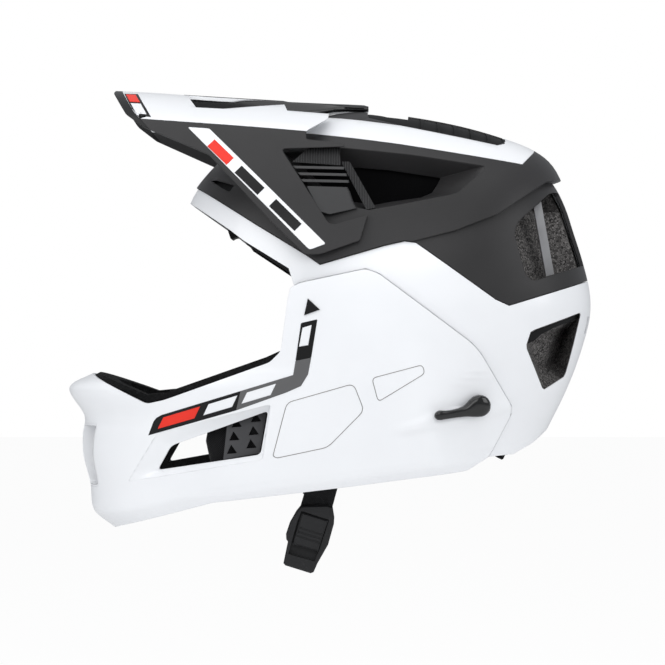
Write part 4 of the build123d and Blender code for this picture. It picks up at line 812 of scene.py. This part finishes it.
# the black edge under the brow, with a tab in the middle
brow_bar = [(-94.1, 39.4), (-92.8, 40.7), (-65.1, 22.8), (-63.3, 17.5), (-92.1, 36.4)]
tab_outline = [(-108.5, 54), (-106.3, 46.9), (-104.9, 42.6), (-103.7, 41.9), (-102.2, 42.9),
               (-98.7, 43.7), (-94, 54)]
brow_tab = carve(prism(tab_outline, -15, 15), [("INTERSECT", envelope(body_profile, 5.0))])
brow_trim = carve(layer(body_profile, 3.6, 8.0), [("INTERSECT", across(brow_bar)), ("UNION", brow_tab)])
finish_piece(brow_trim, "brow_trim", soft_black, "helmet")
finish_piece(upper, "upper_skin", charcoal, "helmet", "upper_shell")
finish_piece(stripe, "crown_stripe", white, "helmet")

# ---------------------------------------------------------------- chin guard

SLATS_FOOT, SLAT_PITCH, SLAT_GAP = -118.5, 7.6, 4.6
mouth_front = rounded([(30, -122), (38, -80), (7.5, -80), (7.5, -122)], 4)


def mirrored(points, sign):
    return [(sign * x, z) for x, z in points]


def chin_with_bevel(inset, grow):
    """The chin guard's form at an inset, with the bevelled floor let in round each cheek vent."""
    pocket_line = rounded(shifted(bevel_pocket, grow), 2)
    bevel = carve(chin_surface(inset, bevel_relief), [("INTERSECT", across(pocket_line))])
    return carve(chin_surface(inset), [("DIFFERENCE", across(pocket_line)), ("UNION", bevel)])


chin = chin_with_bevel(0.0, 0.0)
behind = across([(-75, -240), (-75, 60), (170, 60), (170, -240)])
carve(chin, [("INTERSECT", across(rounded(arm_outline, 2.5)))] + cut_steps(
    [chin_with_bevel(CHIN_WALL, CHIN_WALL), carve(draw_space(0.8), [("INTERSECT", behind)])]
    + both(rounded(cheek_vent, 3), 20, 200)
    + [prism_y(mirrored(mouth_front, sign), -300, -140) for sign in (1, -1)]))
finish_piece(chin, "chin_skin", white, "chin_guard", "chin_shell", angle=24)
for sign, side in SIDES:
    outline = mirrored(shifted(mouth_front, 0.1), sign)
    bore = prism_y(mirrored(shifted(mouth_front, -1.3), sign), -260, -160)
    duct = carve(prism_y(outline, -240, -178), [("INTERSECT", chin_surface(0.25)), ("DIFFERENCE", bore)])
    finish_piece(duct, f"mouth_duct_{side}", white, "chin_guard", angle=30)
    slats = prism_y(outline, -184.5, -181.5)
    for row in range(5):
        z = SLATS_FOOT + row * SLAT_PITCH
        gap = mirrored([(2, z), (60, z), (60, z + SLAT_GAP), (2, z + SLAT_GAP)], sign)
        carve(slats, cut_steps([prism_y(gap, -200, -170)]))
    stands_for = ["mouth_grille"] if sign > 0 else []
    finish_piece(slats, f"mouth_slats_{side}", soft_black, "chin_guard", *stands_for)

# along the lever's ridge: how far from its pin, in Y and Z, and its height there
lever_line = [(0, 0, 5.9), (-8, -2.2, 4.6), (-16, -4.0, 3.4), (-25.5, -5.8, 3.6)]
lever_outline = [
    (-0.5, 7.2), (2.9, 6.5), (5.3, 4.1), (6.2, 1.2), (5.6, -2.7), (3.4, -5.2), (0.5, -6.6), (-3.6, -6.8),
    (-8.8, -6.6), (-14.6, -7.1), (-22, -8.1), (-26.2, -8.6), (-28.2, -7.9), (-29, -6.1), (-28.3, -4.0),
    (-25.9, -2.6), (-22, -2.7), (-17.6, -2.2), (-13.2, -1.1), (-10.5, 0.1), (-8.3, 1.9), (-6.3, 4.1),
    (-3.9, 6.2)]
LEVER_PIVOT, LEVER_OUT = (94.61, 56.38, -66.74), (0.891489, 0.427912, -0.148791)


def lever_form(sign, layers, outline):
    """A lever on the arm's face, from its outline in the side view, its ridge and its heights."""
    pivot, out = Vector(LEVER_PIVOT), Vector(LEVER_OUT)
    rings = []
    for share, keep in layers:
        ring = []
        for a, b in outline:
            best = FAR
            for (a0, b0, h0), (a1, b1, h1) in zip(lever_line, lever_line[1:]):
                t = ((a - a0) * (a1 - a0) + (b - b0) * (b1 - b0)) / ((a1 - a0) ** 2 + (b1 - b0) ** 2)
                t = max(0.0, min(1.0, t))
                ca, cb = a0 + (a1 - a0) * t, b0 + (b1 - b0) * t
                if math.hypot(a - ca, b - cb) < best:
                    best, near = math.hypot(a - ca, b - cb), (ca, cb, h0 + (h1 - h0) * t)
            y = near[0] + (a - near[0]) * keep
            z = near[1] + (b - near[1]) * keep
            x = -(out.y * y + out.z * z) / out.x
            point = pivot + Vector((x, y, z)) + out * (near[2] * share)
            ring.append((sign * point.x, point.y, point.z))
        rings.append(ring)
    return rings_object("form", rings)


def hub(scale):
    """The outline round the lever's pin."""
    return [(scale * 5.0 * math.cos(k * math.pi / 12), scale * 5.6 * math.sin(k * math.pi / 12))
            for k in range(24)]


lever_layers = ((0.0, 0.93), (0.08, 1.0), (0.5, 1.0), (0.72, 0.93), (0.88, 0.72), (0.97, 0.40), (1.0, 0.12))
for sign, side in SIDES:
    body = f"lever_{side[0]}"
    handle = lever_form(sign, lever_layers, smooth(lever_outline, 3))
    finish_piece(handle, f"lever_{side}_handle", gloss_black, body, f"lever_{side}", angle=60)
    pin = carve(copy_of(f"lever_pin_{side}", "form"),
                cut_steps([lever_form(sign, ((0.3, 1.0), (3.0, 1.0)), hub(2))]))
    finish_piece(pin, f"lever_{side}_shaft", steel, body, f"lever_pin_{side}")
rings_left, rings_right = (lever_form(sign, ((-0.24, 1.0), (-0.05, 1.0)), hub(1)) for sign in (1, -1))
carve(rings_left, [("UNION", rings_right)])
finish_piece(rings_left, "lever_rings", soft_black, "chin_guard", "lever_washers")
# small tabs under the rear rim, clear of the nape pads at every height of the cradle
nape = pair([(68.5, -96), (79, -92), (77.6, -95.2), (75.4, -99.0), (73.8, -102.2), (72.8, -102.6),
             (69.3, -100.9), (68.0, -99.6)], 34, 62)
for drop_by in (0.006, 0.003, 0.0):
    room = copy_of("neck_roll", "form")
    room.matrix_world = Matrix.Translation((0, 0, -drop_by)) @ room.matrix_world
    carve(nape, cut_steps([room]))
finish_piece(nape, "nape_tabs", soft_black, "cradle")

# ---------------------------------------------------------------- visor

# Y, the top in the middle, and the crease's height and half width
visor_stations = [
    (-195, 142, 120.5, 66.7), (-156, 140, 118, 68.9), (-116, 137, 115.5, 71.7),
    (-76, 134.6, 113.5, 72.4), (-40, 132.5, 110, 71), (-8, 131.5, 105.5, 69.6),
]
visor_side = [
    (-180, 146), (-181.5, 138), (-171, 121.5), (-159, 112.5), (-116.5, 94), (-106, 83),
    (-74, 48.5), (-54.5, 29.6), (-45, 29.6), (-19.6, 38.4), (-13.8, 58), (-29.5, 85), (-29.4, 102),
    (-54, 104.5), (-54, 110), (-40, 119), (-36, 146),
]
visor_window = [
    (-70, 98), (-54, 72.6), (-40, 50), (-36, 48.5), (-14, 55), (-10, 58), (-20, 86), (-20, 100),
]
HEM_X, HEM_Z = 108.0, 27.0
BULGE = 0.72            # of the way from the crease to the hem, halfway down
SHOULDER = 0.78         # of the rise from the crease to the top, halfway in


def arc(a, b, c, steps):
    """Points on the circle through three points, from the first to the last."""
    ax, az, bx, bz, cx, cz = *a, *b, *c
    d = 2 * (ax * (bz - cz) + bx * (cz - az) + cx * (az - bz))
    sa, sb, sc = ax**2 + az**2, bx**2 + bz**2, cx**2 + cz**2
    ux = (sa * (bz - cz) + sb * (cz - az) + sc * (az - bz)) / d
    uz = (sa * (cx - bx) + sb * (ax - cx) + sc * (bx - ax)) / d
    radius = math.hypot(ax - ux, az - uz)
    start, end = math.atan2(az - uz, ax - ux), math.atan2(cz - uz, cx - ux)
    if abs(end - start) > math.pi:
        end += math.copysign(2 * math.pi, start - end)
    turns = [start + (end - start) * k / steps for k in range(steps + 1)]
    return [(ux + radius * math.cos(turn), uz + radius * math.sin(turn)) for turn in turns]


def visor_form(inset):
    rings = []
    for y, top, crease, crease_x in smooth(visor_stations, 5):
        top, crease, crease_x, hem = top - inset, crease - inset, crease_x - inset, HEM_X - inset
        bulge = (crease_x + (hem - crease_x) * BULGE, (crease + HEM_Z) / 2)
        shoulder = (crease_x / 2, crease + (top - crease) * SHOULDER)
        left = arc((0.0, top), shoulder, (crease_x, crease), 14)
        left += arc((crease_x, crease), bulge, (hem, HEM_Z), 16)[1:]
        rings.append([(x, y, z) for x, z in left] + [(-x, y, z) for x, z in reversed(left[1:])])
    return rings_object("form", rings)


# Y, top, underside, half width of the top and of the foot
spine_rows = [
    (-136, 138.6, 124, 9, 12), (-99, 136.2, 122.5, 11, 14), (-70, 134.4, 122.5, 12, 15),
    (-66, 133.6, 123.8, 12, 15), (-45, 132.6, 125.6, 13, 16), (-36, 132.2, 127.2, 13, 16.5),
    (-27, 131.9, 127.7, 13, 17), (-16, 131.4, 127.3, 12.5, 15.5), (-13, 130.6, 127.4, 11.5, 14),
]


def spine(grow=0.0):
    """The duct along the visor's middle and its glossy tail."""
    rings = []
    for i, (y, top, under, wide, foot) in enumerate(spine_rows):
        y += {0: -grow, len(spine_rows) - 1: grow}.get(i, 0)
        half = [(foot + grow, under - grow), (foot + grow, under + 2.2), (wide + grow, top + grow)]
        line = half + [(0, top + grow + 0.3)] + [(-x, z) for x, z in reversed(half)]
        rings.append([(x, y, z) for x, z in rounded(line, 1.6, 3)])
    return rings_object("form", rings)


visor = carve(visor_form(0.0), [("INTERSECT", across(rounded(visor_side, 1.5))),
                                ("DIFFERENCE", visor_form(2.4))])
top_vent = [(-131.2, 134.2), (-126.1, 126.9), (-108.1, 126.0), (-68.7, 130.2), (-66.6, 125.1),
            (-30, 122.4), (-30, 160), (-140, 160)]
carve(visor, cut_steps([spine(0.3)] + both(rounded(visor_window, 3), 50, SIDE) + both(top_vent, 12, SIDE)))
tail_groove = [(-29, 128.6), (-16, 128.2), (-16, 129.4), (-29, 129.8)]
tail = carve(spine(), cut_steps(both(tail_groove, 9, 40)))
finish_piece(tail, "visor_tail", gloss_black, "visor", "visor_spine")
crown_band = [(-200, 121), (-156, 118), (-130, 116), (-97, 113.5), (-54, 110), (-30, 107), (-30, 160),
              (-200, 160)]
front_trim = [(-190, 150), (-190, 100), (-153, 100), (-153, 108.5), (-166.5, 124), (-176.5, 140),
              (-176.5, 150)]
trim = carve(twin(visor), [("INTERSECT", across(front_trim))])
carve(visor, cut_steps([across(front_trim)]))
band = carve(twin(visor), [("INTERSECT", across(crown_band))])
carve(visor, cut_steps([across(crown_band)]))
finish_piece(visor, "visor_flanks", charcoal, "visor", "visor_shell")
pins = carve(copy_of("visor_pivots", "form"), [("INTERSECT", visor_form(0.6))])
finish_piece(pins, "visor_pins", charcoal, "helmet", "visor_pivots", slot="black_plastic")
finish_piece(band, "visor_band", white, "visor")
finish_piece(trim, "visor_trim", print_black, "visor", "visor_edge", slot="gloss_black")


def crown_room(turn):
    """The upper shell's outer form with some room round it, as the visor meets it when turned."""
    room = envelope(cap_profile, -CAP_PROUD - 0.8)
    c, n = math.cos(math.radians(turn)), math.sin(math.radians(turn))
    pivot_y, pivot_z = VISOR_PIVOT[0] * MM, VISOR_PIVOT[1] * MM
    for vert in room.data.vertices:
        y, z = vert.co.y - pivot_y, vert.co.z - pivot_z
        vert.co.y, vert.co.z = y * c - z * n + pivot_y, y * n + z * c + pivot_z
    return room


def window_piece(name, outline, outset, depth, material, *stands_for):
    """A piece in the visor's side windows, both sides at once."""
    piece = carve(visor_form(outset), [
        ("DIFFERENCE", visor_form(outset + depth)), ("INTERSECT", pair(outline, 50, SIDE)),
        ("DIFFERENCE", crown_room(0)), ("DIFFERENCE", crown_room(VISOR_TILT))])
    finish_piece(piece, name, material, "visor", *stands_for, angle=25)


window_piece("window_block", rounded([(-51.9, 99.5), (-29, 100), (-29, 87.2), (-63, 89.4)], 0.8), 2.6, 2.0,
             ribbed_black, "visor_louvres")
for row, (front, rear, z) in enumerate(((-62.5, -29.6, 86.9), (-59.4, -27.4, 82.5), (-57.4, -25.4, 78.1))):
    slat = [(front, z), (rear, z - 0.6), (rear, z - 2.4), (front + 1.6, z - 1.8)]
    window_piece(f"window_slat_{row}", slat, 1.9, 4.2, slat_black)
window_piece("window_panel", rounded([(-53.6, 73.6), (-24.8, 72.8), (-16.4, 60.3), (-39, 55.2),
                                      (-45.4, 57.2)], 1.0), 2.2, 1.8, panel_black)
strut_outline = rounded([(-31.5, 90), (-26, 90), (-9.5, 59.6), (-15.5, 58.4)], 0.8)
strut = carve(layer(cap_profile, -CAP_PROUD + 0.4, -CAP_PROUD + 3.4),
              [("INTERSECT", pair(strut_outline, 50, SIDE))])
finish_piece(strut, "vent_strut", ribbed_black, "helmet")

# ---------------------------------------------------------------- printed stripes and labels

def tree_of(obj):
    bm = bmesh.new()
    bm.from_mesh(obj.data)
    tree = BVHTree.FromBMesh(bm)
    bm.free()
    return tree


RAY_FROM, RAY_LENGTH = 0.3, 0.28        # metres, from beside the helmet


def decal(name, outline, target, material, body, lift=0.14, step=3.0):
    """A thin printed film on both sides that follows a surface under an outline of the side view."""
    made = []
    for sign, side in SIDES:
        bm = bmesh.new()
        bm.faces.new([bm.verts.new((RAY_FROM * sign, y * MM, z * MM)) for y, z in outline])
        for axis, normal in ((0, (0, 1, 0)), (1, (0, 0, 1))):
            place = min(p[axis] for p in outline) + step
            while place < max(p[axis] for p in outline):
                bmesh.ops.bisect_plane(bm, geom=bm.verts[:] + bm.edges[:] + bm.faces[:],
                                       plane_co=Vector(normal) * place * MM, plane_no=normal, dist=1e-6)
                place += step
        bmesh.ops.triangulate(bm, faces=bm.faces)
        for vert in bm.verts:
            hit, normal, _, _ = target.ray_cast(vert.co, Vector((-sign, 0, 0)), RAY_LENGTH)
            if hit is None:
                hit, normal, _, _ = target.find_nearest(Vector((0.1 * sign, vert.co.y, vert.co.z)))
            if normal.x * sign < 0:
                normal = -normal
            vert.co = hit + normal * lift * MM
        bmesh.ops.recalc_face_normals(bm, faces=bm.faces)
        if sum(face.normal.x for face in bm.faces) * sign < 0:
            bmesh.ops.reverse_faces(bm, faces=bm.faces)
        bmesh.ops.solidify(bm, geom=bm.faces[:], thickness=lift * 2 * MM)
        mesh = bpy.data.meshes.new(name)
        bm.to_mesh(mesh)
        bm.free()
        obj = new_object("form", mesh)
        made.append(finish_piece(obj, f"{name}_{side}", material, body, angle=50, slot=""))
    return made


def ribbon_line(points, width):
    """Short four-sided outlines along a closed line, for a thin printed line."""
    out = []
    for (ya, za), (yb, zb) in zip(points, points[1:] + points[:1]):
        dy, dz = yb - ya, zb - za
        length = math.hypot(dy, dz)
        if length < 0.05:
            continue
        ny, nz = -dz / length * width / 2, dy / length * width / 2
        ey, ez = dy / length * width * 0.3, dz / length * width * 0.3
        out.append([(ya + ny - ey, za + nz - ez), (ya - ny - ey, za - nz - ez),
                    (yb - ny + ey, zb - nz + ez), (yb + ny + ey, zb + nz + ez)])
    return out


def printed_line(name, points, width, target, material, body):
    """A thin line on both sides, joined to one piece a side."""
    made = []
    for piece in ribbon_line(points, width):
        made += decal(name, piece, target, material, body, lift=0.10, step=6.0)
    for first, *rest in (made[0::2], made[1::2]):
        with editing(first.data) as bm:
            for obj in rest:
                bm.from_mesh(obj.data)
        for face in first.data.polygons:
            face.use_smooth = True
        drop(*rest)


chin_tree = tree_of(chin)
OVER = 0.3              # lift of a print that lies on another
band_middle = [(-98.5, -69.7), (-95.6, -57.3), (-62, -47), (-60.5, -38), (-50.5, -36), (-52.5, -46.5),
               (-57, -54), (-66, -58)]
band_upper = [(-60.5, -38), (-57, -14), (-46.6, -11.6), (-50.5, -36)]
band_lower = [(-156, -86.5), (-152.5, -77.5), (-150.5, -75), (-147, -73.1), (-95.6, -57.3), (-98.5, -69.7)]
for name, outline, paint in (("band_lower", band_lower, print_black), ("band_middle", band_middle, print_grey),
                             ("band_upper", rounded(band_upper, 0.8), print_black)):
    decal(name, outline, chin_tree, paint, "chin_guard")
for name, outline, paint in (
        ("band_block", [(-149.6, -82.2), (-145.8, -74.6), (-121.6, -67.2), (-125.4, -75.0)], print_red),
        ("band_mark", [(-119.6, -73.0), (-116.2, -65.8), (-97.6, -60.1), (-101.0, -67.4)], white),
        ("band_mark", [(-95.0, -65.4), (-91.4, -58.2), (-72.8, -52.5), (-76.4, -59.8)], white),
        ("band_mark", [(-58.2, -29), (-52.4, -28), (-50.2, -15.2), (-56, -17)], white)):
    decal(name, outline, chin_tree, paint, "chin_guard", lift=OVER)
for name, outline in (
        ("panel_large", rounded([(-66, -64.6), (-75, -98.7), (-72.5, -100), (-40, -93), (-17, -69.5),
                                 (-23.7, -52.5)], 4)),
        ("panel_small", rounded([(-12, -49), (20, -40.5), (21.6, -46), (-8, -64)], 3))):
    printed_line(name, outline, 0.45, chin_tree, print_line, "chin_guard")

visor_tree = tree_of(visor)
band_tree = tree_of(band)
strip = [(-130.5, 112.5), (-116.5, 111.5), (-41.2, 36.3), (-51.5, 32.5), (-54.2, 35)]
decal("visor_strip", rounded(strip, 1.5), visor_tree, white, "visor")
strip_top, strip_foot = Vector((-122.5, 109.0)), Vector((-48.5, 36.5))
along = strip_foot - strip_top
aside = Vector((along.y, -along.x)).normalized() * 3.2
for share, length, paint in ((0.10, 0.17, print_red), (0.34, 0.20, print_black), (0.64, 0.22, print_black)):
    p, q = strip_top + along * share, strip_top + along * (share + length)
    block = [tuple(corner) for corner in (p + aside, p - aside, q - aside, q + aside)]
    decal("strip_block", block, visor_tree, paint, "visor", lift=OVER)
tip_block = [(-174.5, 137.6), (-165.5, 137.4), (-154.5, 119.5), (-164.5, 120.6)]
decal("tip_frame", tip_block, band_tree, print_black, "visor")
for name, outline, paint in (
        ("tip_red", [(-173.2, 136.8), (-166.8, 136.6), (-162.9, 130.4), (-169.6, 130.8)], print_red),
        ("tip_white", [(-168.9, 129.6), (-162.2, 129.2), (-157.6, 121.4), (-164.2, 121.8)], white)):
    decal(name, outline, band_tree, paint, "visor", lift=OVER)


# ---------------------------------------------------------------- CAD pieces that are carried as they are

for name, material in (
        ("chin_liner", black_foam), ("rear_struts", light_plastic), ("lever_sockets", steel),
        ("arm_plugs", print_black), ("cheek_panels", grey_plastic), ("fit_cradle", soft_black),
        ("fit_case", black_plastic), ("fit_dial", grey_plastic), ("rack_left", grey_plastic),
        ("rack_right", grey_plastic), ("strap_anchors", black_plastic)):
    nodes[name].data.materials.clear()
    nodes[name].data.materials.append(material)


# ---------------------------------------------------------------- soft pieces

def pad(node, name, body):
    """A sewn foam pad: the solid's form with its corners drawn round and its face crowned."""
    obj = copy_of(node, "form")
    for kind, values in (("REMESH", {"mode": "VOXEL", "voxel_size": 0.0018}),
                         ("SMOOTH", {"factor": 0.6, "iterations": 5}),
                         ("DECIMATE", {"ratio": 0.35}),
                         ("SUBSURF", {"levels": 1, "render_levels": 1})):
        modifier = obj.modifiers.new(kind.lower(), kind)
        for key, value in values.items():
            setattr(modifier, key, value)
    settle(obj)
    finish_piece(obj, name, pad_fabric, body, node, angle=80)


for kind, body in (("cheek", "chin_guard"), ("ear", "helmet")):
    for sign, side in SIDES:
        pad(f"{kind}_pad_{side}", f"{kind}_cushion_{side}", body)
for node, name in (("crown_pad", "crown_cushion"), ("brow_pad", "brow_cushion"),
                   ("neck_roll", "nape_cushions")):
    pad(node, name, "helmet")


# ---------------------------------------------------------------- straps and buckle

# the strap's section, as shares of its half width and half thickness
strap_edge = [(-1, -0.3), (-0.985, -0.8), (-0.93, -1), (0.93, -1), (0.985, -0.8), (1, -0.3)]
strap_section = strap_edge + [(-a, -b) for a, b in strap_edge]
STRAP_STEPS = 5


def strap(name, sign, line, *stands_for, width=20.0, thick=1.5):
    """A flat woven strap along a line; each point of the line carries its own width direction."""
    line = [(sign * p[0], *p[1:]) for p in line]
    places = smooth([p[:3] for p in line], STRAP_STEPS)
    rings = []
    for i, place in enumerate(places):
        spot = i / STRAP_STEPS
        k = min(int(spot), len(line) - 2)
        flat = Vector(line[k][3:]).normalized().lerp(Vector(line[k + 1][3:]).normalized(), min(spot - k, 1.0))
        before, after = places[max(i - 1, 0)], places[min(i + 1, len(places) - 1)]
        along = (Vector(after) - Vector(before)).normalized()
        flat = (flat - along * flat.dot(along)).normalized()
        out = along.cross(flat)
        rings.append([tuple(Vector(place) + flat * a * width / 2 + out * b * thick / 2)
                      for a, b in strap_section])
    finish_piece(rings_object("form", rings), name, webbing, "helmet", *stands_for, angle=50)


front_line = [(70, -44, -31, 0, 1, 0), (70, -43.5, -60, 0, 1, 0), (70, -42.5, -88, 0, 1, 0),
              (70, -42, -110, 0, 1, -0.1), (70, -45, -124, 0, 1, -0.25), (70, -48, -134.5, 0, 1, -0.3)]
back_line = [(71.7, 35, -52.8, 0, 0.6, 0.8), (71.7, 10, -71.4, 0, 0.6, 0.8),
             (71.7, -16, -90.7, 0, 0.6, 0.8), (71.7, -40, -108.5, 0, 0.6, 0.8)]
under_line = [(-70, -48, -134.5, 0, 1, -0.3), (-69, -52.5, -150, 0, 1, -0.35), (-62, -56.5, -163, 0, 1, -0.3),
              (-48, -58, -171.5, 0, 1, -0.1), (-20, -58, -174, 0, 1, 0), (20, -58, -174, 0, 1, 0),
              (44, -58, -172.5, 0, 1, -0.1), (58, -57, -168, 0, 1, -0.3),
              (64.5, -55.5, -161, 0, 1, -0.35), (67, -53, -152, 0, 1, -0.35)]
for sign, side in SIDES:
    strap(f"strap_front_{side}", sign, front_line, f"strap_{side}")
    strap(f"strap_back_{side}", sign, back_line)
strap("strap_under_chin", 1, under_line, width=18.0)

buckle_edge = [
    (-60.3, -135.2), (-64.5, -142.5), (-67, -150), (-66.8, -153.5), (-65.8, -154.9), (-68.7, -168.8),
    (-67.5, -170.3), (-51.2, -175.4), (-49.2, -174.7), (-46.8, -169.2), (-39.8, -156.9), (-36.1, -143.6),
    (-35.8, -139.5), (-36.9, -132.6), (-40, -131.4), (-57.6, -131.9)]
block_edge = [(-56.7, -135.8), (-39.8, -141.2), (-46.3, -161.2), (-62.6, -156.6)]
PUSH = (-0.3746066 * 6.5, -0.9271839 * 6.5)     # how far the button may go, with some room
BUCKLE_X = (65.6, 74.4)
RIB = (-0.9, -2.6)      # from one groove in the button to the next


def chamfered(outline, x0, x1, drawn):
    """A flat piece across X whose outer edge is drawn in."""
    small = shifted(outline, -drawn)
    loops = [(small, x0), (outline, x0 + drawn), (outline, x1 - drawn), (small, x1)]
    return rings_object("form", [[(x, y, z) for y, z in loop] for loop, x in loops])


def moved(points, by):
    return [(y + by[0], z + by[1]) for y, z in points]


pushed = moved(block_edge, PUSH)
well = block_edge[:3] + [pushed[2], pushed[3], pushed[0]]
buckle = carve(chamfered(buckle_edge, *BUCKLE_X, 1.0), cut_steps([prism(shifted(well, 0.4), 69.4, 90)]))
finish_piece(buckle, "buckle_body", black_plastic, "helmet", "buckle_frame")
groove = [(-58, -145.4), (-43.2, -150.0), (-43.5, -151.0), (-58.3, -146.4)]
button = carve(chamfered(block_edge, 69.8, 75.6, 1.1), cut_steps(
    [prism(moved(groove, (k * RIB[0], k * RIB[1])), 75.0, 90) for k in range(3)]))
finish_piece(button, "buckle_button", black_plastic, "buckle_catch", "buckle_slide", "buckle_magnet")

# ---------------------------------------------------------------- floor, light and camera

FLOOR = -0.30


def stage_material():
    """Plain white for the camera, with the object's shadow kept, and pale paper for all other light."""
    material = bpy.data.materials.new("paper")
    material.use_nodes = True
    tree = material.node_tree
    tree.nodes.clear()
    path, mix = new_node(tree, "LightPath"), new_node(tree, "MixShader")
    seen, share = new_node(tree, "Math"), new_node(tree, "Math")
    seen.operation, share.operation = "MAXIMUM", "MULTIPLY"
    share.inputs[1].default_value = 0.95
    paper = new_node(tree, "BsdfDiffuse", Color=(0.9, 0.9, 0.9, 1))
    glow = new_node(tree, "Emission", Strength=1.0)
    wire(tree, (path.outputs["Is Camera Ray"], seen.inputs[0]),
         (path.outputs["Is Transmission Ray"], seen.inputs[1]),
         (seen.outputs["Value"], share.inputs[0]), (share.outputs["Value"], mix.inputs["Fac"]),
         (paper.outputs["BSDF"], mix.inputs[1]), (glow.outputs["Emission"], mix.inputs[2]),
         (mix.outputs["Shader"], new_node(tree, "OutputMaterial").inputs["Surface"]))
    return material


floor_mesh = bpy.data.meshes.new("floor")
floor_mesh.from_pydata([(-6, -6, FLOOR), (6, -6, FLOOR), (6, 6, FLOOR), (-6, 6, FLOOR)], [], [(0, 1, 2, 3)])
floor = new_object("floor", floor_mesh)
floor_mesh.materials.append(stage_material())

# the world: white for the camera, soft daylight for the object
world = bpy.data.worlds.new("studio")
bpy.context.scene.world = world
world.use_nodes = True
tree = world.node_tree
tree.nodes.clear()
mix = new_node(tree, "MixShader")
daylight = new_node(tree, "Background", Color=(0.93, 0.96, 1.0, 1), Strength=0.46)
plain_white = new_node(tree, "Background", Color=(1, 1, 1, 1), Strength=1.0)
wire(tree, (new_node(tree, "LightPath").outputs["Is Camera Ray"], mix.inputs["Fac"]),
     (daylight.outputs["Background"], mix.inputs[1]), (plain_white.outputs["Background"], mix.inputs[2]),
     (mix.outputs["Shader"], new_node(tree, "OutputWorld").inputs["Surface"]))

for name, place, target, size, power in (
        ("top_box", (0.35, -0.1, 1.25), (0, 0, 0.02), (1.4, 1.4), 9.0),
        ("front_box", (0.9, -1.2, 0.55), (0, -0.03, 0), (0.9, 0.9), 7.0),
        ("rear_box", (0.5, 1.3, 0.5), (0, 0.05, 0), (0.7, 1.0), 5.0),
        ("side_box", (1.7, 0.2, 0.7), (0, 0, 0), (1.2, 0.8), 7.0)):
    light = bpy.data.lights.new(name, "AREA")
    light.shape = "RECTANGLE"
    light.size, light.size_y = size
    light.energy = power
    lamp = new_object(name, light)
    lamp.location = place
    lamp.rotation_euler = (Vector(target) - Vector(place)).to_track_quat("-Z", "Y").to_euler()

lens = bpy.data.cameras.new("camera")
lens.sensor_width = 36.0
lens.lens = 161.6
lens.clip_start = 0.05
camera = new_object("camera", lens)
camera.location = (2.0, -0.037, -0.020)
camera.rotation_euler = (math.radians(90), 0, math.radians(90))
bpy.context.scene.camera = camera
bpy.context.scene.view_settings.view_transform = "Standard"
